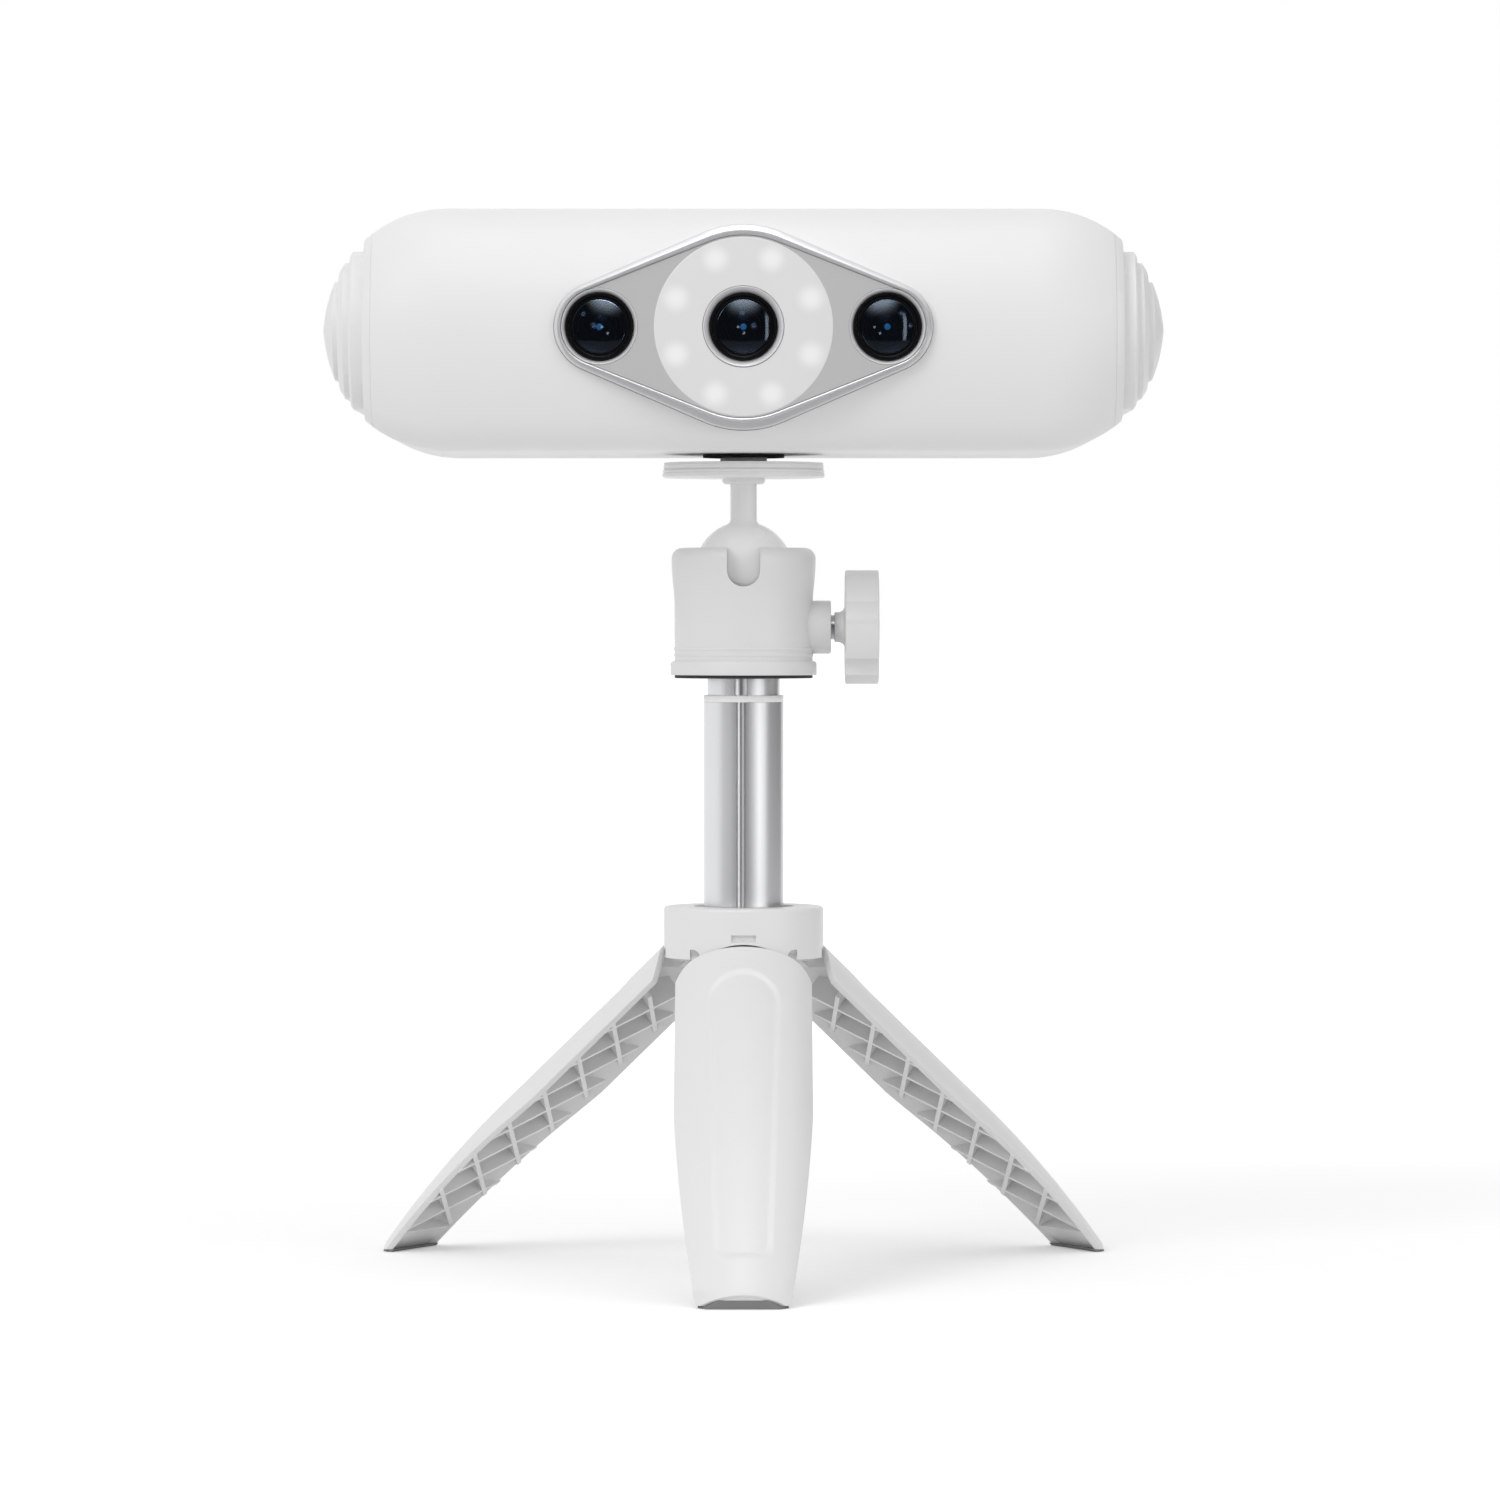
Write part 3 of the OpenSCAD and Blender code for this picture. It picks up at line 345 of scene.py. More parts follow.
# Top plate and pad: the head's white painted lighter, as painted light that makes up for the shade under the
# body.
PLATE_WHITE_PAINTED_LIGHT = Finish("plate_white_painted_light", grey(245), 0.38, grain_scale=2800, tone=0.015)
NYLON = Finish("nylon", (0.82, 0.82, 0.77), 0.5, bump=0.2, tone=0.03)
TUBE_BRIGHT = Finish("tube_bright", (0.69, 0.695, 0.705), 0.30, Grain.DRAWN, metallic=1.0, bump=0.08,
                     tone=0.03)
COLLAR_WHITE = Finish("collar_satin", grey(250), 0.36, bump=0.08, tone=0.01)
LEG_WHITE = Finish("leg_white", grey(230), 0.40, grain_scale=2600, tone=0.015)
SOLE_RUBBER = Finish("sole_grip", grey(124), 0.7, bump=0.35, grain_depth=0.05, tone=0.06)
DIFFUSER = LampField("diffuser_white", grey(228), 0.34, tone=0.006, bump=0.02)
LENS_GLASS = CoatedGlass("lens_coated", (0.26, 0.33, 0.48), 0.02, bump=0.0, rough_span=0.0)
LENS_INNER = Finish("lens_inner", (0.004, 0.006, 0.016), 0.10, bump=0.0, tone=0.1, specular=0.2)
# Blue coated inner lens element with a painted glint: it glows to stand in for the bright reflection in the
# middle of each lens.
LENS_BLUE_PAINTED_GLINT = Finish("lens_blue_painted_glint", (0.05, 0.24, 0.42), 0.16, metallic=1.0, bump=0.0, tone=0.15, painted_glint=0.9)

SHOWN_SOLIDS: dict[Finish, tuple[str, ...]] = {
    BOARD_GREEN: ("ring_board", "camera_boards", "main_board"),
    LAMP_YELLOW: ("ring_lamps",),
    FRAME_CAST: ("optical_frame", "heat_sink"),
    STEEL: ("frame_screws", "board_screws", "rear_port", "mounting_screw", "clamp_screw", "leg_pins"),
    SWITCH_BLACK: ("projector_body", "button_switch"),
    STATUS_PALE: ("status_light",),
    BRASS: ("tripod_insert", "clamp_shoe"),
    PAD_RUBBER: ("tripod_pad",),
    HEAD_WHITE: ("head_base",),
    NYLON: ("ball_seat", "upper_bush", "lower_bush", "hub_bush"),
    TUBE_BRIGHT: ("upper_plug",),
}


def chain_line(bm: Mesh, vert: Vert, to: Place) -> Vert:
    """Draws a straight edge.

    Args:
        bm: The mesh.
        vert: Where the edge starts.
        to: Where it ends.

    Returns:
        The new end vertex.
    """
    new = bmesh.ops.extrude_vert_indiv(bm, verts=[vert])["verts"][0]
    bmesh.ops.translate(bm, vec=Vector(to) - new.co, verts=[new])
    return new


def chain_arc(bm: Mesh, vert: Vert, centre: Place, axis: str, degrees: float, steps: int) -> Vert:
    """Draws an arc of edges.

    Args:
        bm: The mesh.
        vert: Where the arc starts.
        centre: Middle of the arc.
        axis: Axis that it turns about.
        degrees: How far it turns.
        steps: Number of edges.

    Returns:
        The new end vertex.
    """
    turn = Matrix.Rotation(math.radians(degrees / steps), 3, axis)
    for _ in range(steps):
        vert = bmesh.ops.extrude_vert_indiv(bm, verts=[vert])["verts"][0]
        bmesh.ops.rotate(bm, cent=centre, matrix=turn, verts=[vert])
    return vert


def arc(centre: Point, radius: float, start: float, turn: float, steps: int) -> list[Point]:
    """Points of an arc in a plane.

    Args:
        centre: Its middle.
        radius: Its radius.
        start: Angle of its first point, in radians.
        turn: How far it turns, in radians.
        steps: Number of steps.

    Returns:
        The points, from the first to the last.
    """
    angles = [start + turn * i / steps for i in range(steps + 1)]
    return [(centre[0] + radius * math.cos(q), centre[1] + radius * math.sin(q)) for q in angles]


def draw(points: Sequence[Place], closed: bool = True) -> Mesh:
    """Draws straight edges from point to point.

    Args:
        points: Their places.
        closed: Whether the last point joins the first.

    Returns:
        A new mesh of edges.
    """
    bm = bmesh.new()
    first = last = bm.verts.new(points[0])
    for point in points[1:]:
        last = chain_line(bm, last, point)
    if closed:
        bmesh.ops.contextual_create(bm, geom=[last, first])
    return bm


def push(bm: Mesh, way: Place, faces: Optional[list] = None) -> Mesh:
    """Pushes a flat shape out into a solid.

    Args:
        bm: The mesh.
        way: How far and which way.
        faces: Faces of the shape. Without them, the mesh is one loop of edges, which is filled first.

    Returns:
        The same mesh.
    """
    faces = faces or bmesh.ops.contextual_create(bm, geom=bm.edges[:])["faces"]
    moved = bmesh.ops.extrude_face_region(bm, geom=faces)["geom"]
    bmesh.ops.translate(bm, vec=way, verts=[g for g in moved if isinstance(g, Vert)])
    bmesh.ops.recalc_face_normals(bm, faces=bm.faces)
    return bm


def lathe(profile: Sequence[Point], axis: str = "Z", at: Place = (0, 0, 0), steps: int = 96,
          closed: bool = True) -> Mesh:
    """Turns a profile about an axis.

    Args:
        profile: Radius and height of each corner, in millimetres.
        axis: Axis of the turning, X, Y or Z.
        at: A point on the axis.
        steps: Number of steps round the axis.
        closed: Whether the last corner joins the first.

    Returns:
        The turned mesh.
    """
    along, out = AXES[axis], AXES["Z" if axis == "X" else "X"]
    bm = draw([out * r + along * h + Vector(at) for r, h in profile], closed)
    bmesh.ops.spin(bm, geom=bm.verts[:] + bm.edges[:], cent=at, axis=along, dvec=(0, 0, 0), angle=math.tau,
                   steps=steps, use_merge=True, use_duplicate=False)
    bmesh.ops.remove_doubles(bm, verts=bm.verts, dist=0.0005)
    bmesh.ops.recalc_face_normals(bm, faces=bm.faces)
    return bm


def soften(bm: Mesh, width: float, angle: float = 40, segments: int = 3) -> Mesh:
    """Rounds the sharp edges of a mesh.

    Args:
        bm: The mesh.
        width: Width of the rounding, in the mesh's units.
        angle: Least angle of an edge that is rounded, in degrees.
        segments: Steps of the rounding.

    Returns:
        The same mesh.
    """
    sharp = [e for e in bm.edges if e.is_manifold and e.calc_face_angle(0) > math.radians(angle)]
    bmesh.ops.bevel(bm, geom=sharp, offset=width, offset_type="OFFSET", segments=segments, profile=0.5,
                    affect="EDGES", material=-1, clamp_overlap=True)
    return bm


def bar(radius: float, low: float, high: float, axis: str, at: Place = (0, 0, 0), steps: int = 48) -> Mesh:
    """A plain round bar, used to cut or to join.

    Args:
        radius: Its radius.
        low: Its start along the axis.
        high: Its end along the axis.
        axis: X, Y or Z.
        at: A point on the axis.
        steps: Steps round it.

    Returns:
        The closed mesh.
    """
    return lathe([(0, low), (radius, low), (radius, high), (0, high)], axis, at, steps, closed=False)


def block(low: Place, high: Place) -> Mesh:
    """A box between two corners.

    Args:
        low: Lowest corner.
        high: Highest corner.

    Returns:
        The closed mesh.
    """
    bm = bmesh.new()
    bmesh.ops.create_cube(bm, size=1.0)
    low, high = Vector(low), Vector(high)
    bmesh.ops.scale(bm, vec=high - low, verts=bm.verts)
    bmesh.ops.translate(bm, vec=(low + high) / 2, verts=bm.verts)
    return bm


def set_down(bm: Mesh, name: str) -> bpy.types.Object:
    """Puts a mesh into a new object of the scene.

    Args:
        bm: The mesh, which is freed.
        name: Name of the object.

    Returns:
        The object.
    """
    mesh = bpy.data.meshes.new(name)
    bm.to_mesh(mesh)
    bm.free()
    obj = bpy.data.objects.new(name, mesh)
    bpy.context.scene.collection.objects.link(obj)
    return obj


def add_to(whole: Mesh, part: Mesh) -> None:
    """Adds one mesh to another.

    Args:
        whole: The mesh that grows.
        part: The mesh that is added and freed.
    """
    mesh = bpy.data.meshes.new("spare")
    part.to_mesh(mesh)
    part.free()
    whole.from_mesh(mesh)
    bpy.data.meshes.remove(mesh)


def carve(bm: Mesh, tools: Iterable[Mesh], how: str = "DIFFERENCE", wall: float = 0.0,
          sink: float = 0.0) -> Mesh:
    """Cuts tools out of a mesh, or joins them to it.

    Args:
        bm: The mesh, which is freed.
        tools: Closed meshes, which are freed.
        how: DIFFERENCE, UNION or INTERSECT.
        wall: Thickness that an open skin gets inwards first.
        sink: Depth to which weighted vertices go in first.

    Returns:
        A new mesh.
    """
    body = set_down(bm, "spare")
    spare = [body]
    if wall:
        skin = body.modifiers.new("wall", "SOLIDIFY")
        skin.thickness, skin.offset, skin.use_even_offset = wall, -1.0, True
    if sink:
        press = body.modifiers.new("sink", "DISPLACE")
        press.vertex_group = body.vertex_groups.new(name="sink").name
        press.strength, press.mid_level, press.direction = -sink, 0.0, "NORMAL"
    for tool in tools:
        spare.append(set_down(tool, "spare"))
        cut = body.modifiers.new("cut", "BOOLEAN")
        cut.operation, cut.solver, cut.object = how, "EXACT", spare[-1]
    bpy.context.view_layer.update()
    made = body.evaluated_get(bpy.context.evaluated_depsgraph_get()).to_mesh()
    out = bmesh.new()
    out.from_mesh(made)
    body.to_mesh_clear()
    for obj in spare:
        mesh = obj.data
        bpy.data.objects.remove(obj)
        bpy.data.meshes.remove(mesh)
    return out


@dataclass
class Bench:
    """Finishes meshes as pieces that ride on the frame.

    Args:
        column_y: Place of the column axis along Y, in metres.
    """

    column_y: float

    def deliver(self, bm: Mesh, node: str, finish: Finish, sharp: float = 32.0, lift: float = 0.0,
                name: str = "", stands_in: bool = True) -> None:
        """Makes a piece of a mesh in millimetres about the column axis.

        Args:
            bm: The mesh, which is freed.
            node: Solid that gives the piece its body.
            finish: Finish of the piece.
            sharp: Edges above this angle stay crisp, in degrees.
            lift: How far the mesh goes up first.
            name: Name of a piece that isn't named after the solid.
            stands_in: Whether the piece stands for the solid.
        """
        bmesh.ops.translate(bm, vec=(0, 0, lift), verts=bm.verts)
        bmesh.ops.remove_doubles(bm, verts=bm.verts, dist=0.001)
        bmesh.ops.recalc_face_normals(bm, faces=bm.faces)
        bmesh.ops.scale(bm, vec=(MM, MM, MM), verts=bm.verts)
        bmesh.ops.translate(bm, vec=(0, self.column_y, 0), verts=bm.verts)
        self.hand_over(bm, node, finish, sharp, name, stands_in)

    def hand_over(self, bm: Mesh, node: str, finish: Finish, sharp: float, name: str = "",
                  stands_in: bool = True) -> None:
        """Makes a piece of a mesh that is already in place, in metres.

        Args:
            bm: The mesh, which is freed.
            node: Solid that gives the piece its body.
            finish: Finish of the piece.
            sharp: Edges above this angle stay crisp, in degrees.
            name: Name of a piece that isn't named after the solid.
            stands_in: Whether the piece stands for the solid.
        """
        for face in bm.faces:
            face.smooth = True
        for edge in bm.edges:
            edge.smooth = edge.calc_face_angle(0) < math.radians(sharp)
        piece = set_down(bm, name or node + "_piece")
        piece.data.materials.append(finish.material())
        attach(piece, BODY_OF[node])
        if stands_in:
            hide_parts(node)
        LOG.info("%s on %s: %d faces", piece.name, BODY_OF[node], len(piece.data.polygons))

    def refine(self, node: str, finish: Finish, width: float = 0.0, sharp: float = 28.0) -> None:
        """Makes a smooth piece from a copy of a solid.

        Args:
            node: The solid.
            finish: Finish of the piece.
            width: Rounding of its edges in millimetres, 0 for none.
            sharp: Edges above this angle stay crisp, in degrees.
        """
        bm = bmesh.new()
        bm.from_mesh(frame["nodes"][node].data)
        bmesh.ops.remove_doubles(bm, verts=bm.verts, dist=0.000002)
        bmesh.ops.dissolve_limit(bm, angle_limit=math.radians(0.4), use_dissolve_boundaries=False,
                                 verts=bm.verts, edges=bm.edges)
        if width:
            soften(bm, width * MM, 50, 2)
        self.hand_over(bm, node, finish, sharp)


@dataclass
class ScannerBody:
    """Crowned housing of the scanner: two shells, two stepped end caps and the scan button.

    Sizes are in millimetres, about the column axis and the middle of the body.

    Args:
        bench: Where pieces are finished.
    """

    bench: Bench
    mid_z: float = BODY_MID_Z
    half_w: float = 77.5
    half_h: float = 22.25
    half_d: float = BODY_HALF_D
    end_r: float = 23.0
    crown_r: float = 34.0
    corner_r: float = 10.0
    tip_depth: float = 24.0
    tip_angle: float = 88.4
    wall: float = 2.2
    split_y: float = 9.0
    split_gap: float = 0.09
    edge: float = 0.3
    cap_len: float = 9.3
    seam: float = 0.02
    lip: float = 0.02
    lip_drop: float = 0.015
    plug_len: float = 4.0
    plug_gap: float = 0.1
    steps: tuple[Point, ...] = ((1.5, 2.2), (4.2, 1.1), (6.3, 1.0))  # start and length of each step
    panel_gap: float = 0.08
    insert_r: float = 5.5
    button_r: float = 6.5
    button_flange: float = 7.6
    button_gap: float = 0.12
    light_at: float = -18.0
    light_r: float = 1.6
    port_at: float = 24.0
    port_half: Point = (4.7, 1.85)
    port_corner: float = 1.6

    @property
    def straight(self) -> float:
        """Half length of the straight part."""
        return self.half_w - self.end_r

    @property
    def seam_x(self) -> float:
        """Where the shells end."""
        return self.half_w - self.cap_len

    def height_at(self, x: float) -> float:
        """Half height of the body at a place along X."""
        u = max(0.0, x - self.straight)
        return self.half_h / self.end_r * math.sqrt(max(0.01, self.end_r ** 2 - u * u))

    def depth_for(self, b: float) -> float:
        """Half depth that goes with a half height."""
        return self.half_d - (self.half_d - self.tip_depth) * (1 - b / self.half_h)

    def end_curve(self, start: float, end: float, count: int) -> list[Point]:
        """Stations round the end of the body.

        Args:
            start: Angle of the first station from the straight part, in radians.
            end: Angle of the last station.
            count: Number of stations after the first.

        Returns:
            Place and half height of each station.
        """
        angles = [start + (end - start) * i / count for i in range(count + 1)]
        return [(self.straight + self.end_r * math.sin(q), self.half_h * math.cos(q)) for q in angles]

    def half_section(self, bm: Mesh, start: Vert, side: int) -> Vert:
        """Draws the crowned half of a cross-section.

        Args:
            bm: The mesh.
            start: Vertex on the bottom for the front, or on the top for the rear.
            side: -1 for the front, 1 for the rear.

        Returns:
            The last vertex.
        """
        x = start.co.x
        y_crown = side * (self.half_d - self.crown_r)
        fall = math.sqrt((self.crown_r - self.corner_r) ** 2 - (self.half_h - self.corner_r) ** 2)
        y_corner = y_crown + side * fall
        tilt = math.degrees(math.atan2(self.half_h - self.corner_r, fall))
        low = side * self.half_h
        inner = low - side * self.corner_r
        vert = chain_line(bm, start, (x, y_corner, low))
        vert = chain_arc(bm, vert, (x, y_corner, inner), "X", -(90 - tilt), 12)
        vert = chain_arc(bm, vert, (x, y_crown, 0), "X", -2 * tilt, 40)
        return chain_arc(bm, vert, (x, y_corner, -inner), "X", -(90 - tilt), 12)

    def pull(self, bm: Mesh, edges: list[Edge], stations: Sequence[Point],
             hold_y: Optional[float] = None) -> list[Edge]:
        """Pulls a chain of edges through stations along X.

        Args:
            bm: The mesh.
            edges: Edges at the first station.
            stations: Place and half height of each station.
            hold_y: Depth of vertices that keep their depth.

        Returns:
            The edges at the last station.
        """
        x, b = stations[0]
        for x1, b1 in stations[1:]:
            geom = bmesh.ops.extrude_edge_only(bm, edges=edges)["geom"]
            verts = [g for g in geom if isinstance(g, Vert)]
            edges = [g for g in geom if isinstance(g, Edge)]
            held = [v for v in verts if hold_y is not None and abs(abs(v.co.y) - abs(hold_y)) < 0.5]
            kept = [v.co.y for v in held]
            bmesh.ops.scale(bm, vec=(1, self.depth_for(b1) / self.depth_for(b), b1 / b), verts=verts)
            bmesh.ops.translate(bm, vec=(x1 - x, 0, 0), verts=verts)
            for v, y in zip(held, kept):
                bmesh.ops.translate(bm, vec=(0, y - v.co.y, 0), verts=[v])
            x, b = x1, b1
        return edges

    def skin(self, side: int) -> Mesh:
        """Outer skin of the front or the rear shell.

        Args:
            side: -1 for the front, 1 for the rear.

        Returns:
            The open mesh.
        """
        bm = bmesh.new()
        cut = self.split_y + side * self.split_gap
        edge_y = cut + side * self.edge
        low = side * self.half_h
        inner = low - side * self.edge
        vert = bm.verts.new((0, cut, inner))
        vert = chain_arc(bm, vert, (0, edge_y, inner), "X", -90, 4)
        vert = self.half_section(bm, vert, side)
        vert = chain_line(bm, vert, (0, edge_y, -low))
        chain_arc(bm, vert, (0, edge_y, -inner), "X", -90, 4)
        end = math.asin((self.seam_x - self.edge - self.straight) / self.end_r)
        near = self.seam_x - self.lip
        stations = [(0.0, self.half_h), *self.end_curve(0.0, end, 16), (near, self.height_at(near)),
                    (self.seam_x, self.height_at(self.seam_x) - self.lip_drop)]
        self.pull(bm, bm.edges[:], stations, cut)
        bmesh.ops.mirror(bm, geom=bm.verts[:] + bm.edges[:] + bm.faces[:], axis="X", merge_dist=0.001)
        bmesh.ops.remove_doubles(bm, verts=bm.verts, dist=0.001)
        bmesh.ops.recalc_face_normals(bm, faces=bm.faces)
        ahead = max(bm.faces, key=lambda f: side * f.calc_center_median().y)
        if ahead.normal.y * side < 0:
            bmesh.ops.reverse_faces(bm, faces=bm.faces)
        return bm

    def cap(self, side: int) -> Mesh:
        """A stepped end cap with the plug that sits in the shells.

        Args:
            side: 1 for the right, -1 for the left.

        Returns:
            The closed mesh.
        """
        bm = bmesh.new()
        start = bm.verts.new((0, 0, -self.half_h))
        top = chain_line(bm, self.half_section(bm, start, -1), (0, 0, self.half_h))
        bmesh.ops.contextual_create(bm, geom=[self.half_section(bm, top, 1), start])
        first = self.seam_x + self.seam
        plug = self.height_at(self.seam_x) - self.wall - self.plug_gap
        stations = [(self.seam_x - self.plug_len, plug), (first, plug),
                    (first, self.height_at(first) - self.lip_drop),
                    (first + self.lip, self.height_at(first + self.lip))]
        for step, length in self.steps:
            x = self.seam_x + step
            b, shelf = self.height_at(x), self.height_at(x + length)
            stations += [(x - 0.14, self.height_at(x - 0.14)), (x - 0.04, b), (x, b - 0.09),
                         (x + 0.02, shelf + 0.05), (x + 0.09, shelf), (x + length, shelf)]
        dome = math.asin((stations[-1][0] - self.straight) / self.end_r)
        stations += self.end_curve(dome, math.radians(self.tip_angle), 20)[1:]
        ring = bm.edges[:]
        bmesh.ops.scale(bm, vec=(1, self.depth_for(plug) / self.half_d, plug / self.half_h), verts=bm.verts)
        bmesh.ops.translate(bm, vec=(stations[0][0], 0, 0), verts=bm.verts)
        end = self.pull(bm, ring, stations)
        bmesh.ops.contextual_create(bm, geom=ring)
        bmesh.ops.contextual_create(bm, geom=end)
        bmesh.ops.scale(bm, vec=(side, 1, 1), verts=bm.verts)
        bmesh.ops.recalc_face_normals(bm, faces=bm.faces)
        return bm

    def build(self, panel: "LensPanel") -> None:
        """Makes the shells, the end caps and the button.

        Args:
            panel: Lens panel that sits in the front shell.
        """
        d, h, (port_x, port_z) = self.half_d, self.half_h, self.port_half
        inside, outside = d - 8, d + 4
        port = block((self.port_at - port_x, inside, -port_z), (self.port_at + port_x, outside, port_z))
        cuts = {
            "front_shell": [panel.prism(self.panel_gap, -d - 4, -d + 9),
                            bar(self.insert_r, -h - 2, -h + 6, "Z")],
            "rear_shell": [bar(self.button_r + self.button_gap, inside, outside, "Y"),
                           bar(self.light_r, inside, outside, "Y", (self.light_at, 0, 0), 24),
                           soften(port, self.port_corner, 60, 6)],
        }
        for side, name in ((-1, "front_shell"), (1, "rear_shell")):
            shell = carve(self.skin(side), cuts[name], wall=self.wall)
            self.bench.deliver(shell, name, BODY_WHITE, 30, self.mid_z)
        for side, name in ((1, "right_end_cap"), (-1, "left_end_cap")):
            self.bench.deliver(self.cap(side), name, CAP_WHITE, 34, self.mid_z)
        r, flange = self.button_r, self.button_flange
        button = lathe([(0, d - 4.8), (flange, d - 4.8), (flange, d - 3.5), (r, d - 3.5), (r, d + 1.0),
                        (r - 1.3, d + 1.0), (0, d + 0.75)], "Y", (0, 0, self.mid_z), closed=False)
        self.bench.deliver(soften(button, 0.3, 35), "scan_button", BUTTON_GREY)


@dataclass
class LensPanel:
    """Diamond bezel, grey panel, ring light and the three lenses.

    Sizes are in millimetres, about the column axis and the middle of the panel.

    Args:
        bench: Where pieces are finished.
    """

    bench: Bench
    mid_z: float = BODY_MID_Z
    bezel_r: float = 18.65
    bezel_end_r: float = 8.3
    bezel_d: float = 7.0
    camera_x: float = 26.2
    rim: float = 2.0
    rim_end: float = 1.25
    front_y: float = -42.6
    panel_y: float = -42.2
    panel_t: float = 1.9
    panel_gap: float = 0.08
    ring_r: float = 16.5
    ring_t: float = 1.5
    trim_r: float = 7.35
    trim_lift: float = 0.2
    camera_trim_r: float = 6.95
    camera_trim_lift: float = 0.06
    barrel_r: float = 6.15
    barrel_d: float = 9.5
    barrel_in: float = 0.1
    glass_in: float = 0.25
    lens_r: float = 4.9
    dome_r: float = 14.0

    def outline(self, bm: Mesh, r_mid: float, r_end: float, y: float) -> list[Edge]:
        """Draws the rounded diamond as a loop of edges.

        Args:
            bm: The mesh.
            r_mid: Radius in the middle.
            r_end: Radius round a side camera.
            y: Depth of the loop.

        Returns:
            The loop's edges.
        """
        before = set(bm.edges)
        lean = math.asin((r_mid - r_end) / self.camera_x)
        turn, sx, cz = math.degrees(lean), math.sin(lean), math.cos(lean)
        first = vert = bm.verts.new((-r_mid * sx, y, r_mid * cz))
        for s in (1, -1):
            vert = chain_arc(bm, vert, (0, y, 0), "Y", 2 * turn, 24)
            vert = chain_line(bm, vert, (s * (self.camera_x + r_end * sx), y, s * r_end * cz))
            vert = chain_arc(bm, vert, (s * self.camera_x, y, 0), "Y", 180 - 2 * turn, 36)
            if s > 0:
                vert = chain_line(bm, vert, (r_mid * sx, y, -r_mid * cz))
        bmesh.ops.contextual_create(bm, geom=[vert, first])
        return [e for e in bm.edges if e not in before]

    def prism(self, grow: float, y0: float, y1: float) -> Mesh:
        """A closed prism of the bezel's outline, used to cut the shell.

        Args:
            grow: How far it is larger than the bezel.
            y0: Its front.
            y1: Its back.

        Returns:
            The closed mesh.
        """
        bm = bmesh.new()
        self.outline(bm, self.bezel_r + grow, self.bezel_end_r + grow, y0)
        return push(bm, (0, y1 - y0, 0))

    def bezel(self) -> None:
        """Makes the silver bezel with its sloped and rolled front edge."""
        bm, back = bmesh.new(), self.bezel_d
        rows = [(0.0, 0.0, back), (0.0, 0.0, 0.85), (0.06, 0.05, 0.66), (0.2, 0.16, 0.5), (0.9, 0.58, 0.1),
                (1.02, 0.68, 0.03), (1.16, 0.78, 0.0), (1.72, 1.06, 0.02), (1.86, 1.15, 0.06),
                (1.96, 1.22, 0.17), (self.rim, self.rim_end, 0.32), (self.rim, self.rim_end, back)]
        loops = [self.outline(bm, self.bezel_r - a, self.bezel_end_r - b, self.front_y + y)
                 for a, b, y in rows]
        for one, two in zip(loops, loops[1:] + loops[:1]):
            bmesh.ops.bridge_loops(bm, edges=one + two)
        self.bench.deliver(bm, "lens_bezel", BEZEL_SILVER, 50, self.mid_z)

    def panel(self) -> None:
        """Makes the grey panel with its openings."""
        bm, y, rim = bmesh.new(), self.panel_y, self.rim + self.panel_gap
        edges = self.outline(bm, self.bezel_r - rim, self.bezel_end_r - self.rim_end - self.panel_gap, y)
        holes = [(0.0, self.trim_r + 0.6)] + [(s * self.camera_x, self.camera_trim_r + 0.05) for s in (-1, 1)]
        for x, r in holes:
            spin = Matrix.Translation((x, y, 0)) @ Matrix.Rotation(math.pi / 2, 4, "X")
            verts = bmesh.ops.create_circle(bm, cap_ends=False, radius=r, segments=72, matrix=spin)["verts"]
            edges += list({e for v in verts for e in v.link_edges})
        bmesh.ops.triangle_fill(bm, use_beauty=True, use_dissolve=False, edges=edges, normal=(0, -1, 0))
        push(bm, (0, self.panel_t, 0), bm.faces[:])
        self.bench.deliver(bm, "lens_panel", PANEL_GREY, 30, self.mid_z)

    def ring_light(self) -> None:
        """Makes the white diffuser over the lamps."""
        y, r0, r1, back = self.panel_y, self.trim_r + 0.1, self.ring_r, self.panel_y + self.ring_t
        bm = lathe([(r0, y - 0.03), (r1 - 0.5, y - 0.03), (r1 - 0.22, y), (r1 - 0.06, y + 0.12),
                    (r1, y + 0.35), (r1, back), (r0, back)], "Y", (0, 0, self.mid_z), 128)
        self.bench.deliver(bm, "ring_light", DIFFUSER, 40)

    def lens_set(self, x: float, name: str, trim: float, lift: float) -> None:
        """Makes one lens with its barrel and its trim ring.

        Args:
            x: Place of the lens.
            name: Name of the lens, as the solids have it.
            trim: Outer radius of its trim ring.
            lift: How far the trim ring stands out of the panel.
        """
        def turned(front: float, rows: Iterable[Point], steps: int = 96, closed: bool = True) -> Mesh:
            """Turns rows of radius and depth behind a front about the lens axis."""
            return lathe([(r, front + y) for r, y in rows], "Y", (x, 0, self.mid_z), steps, closed)

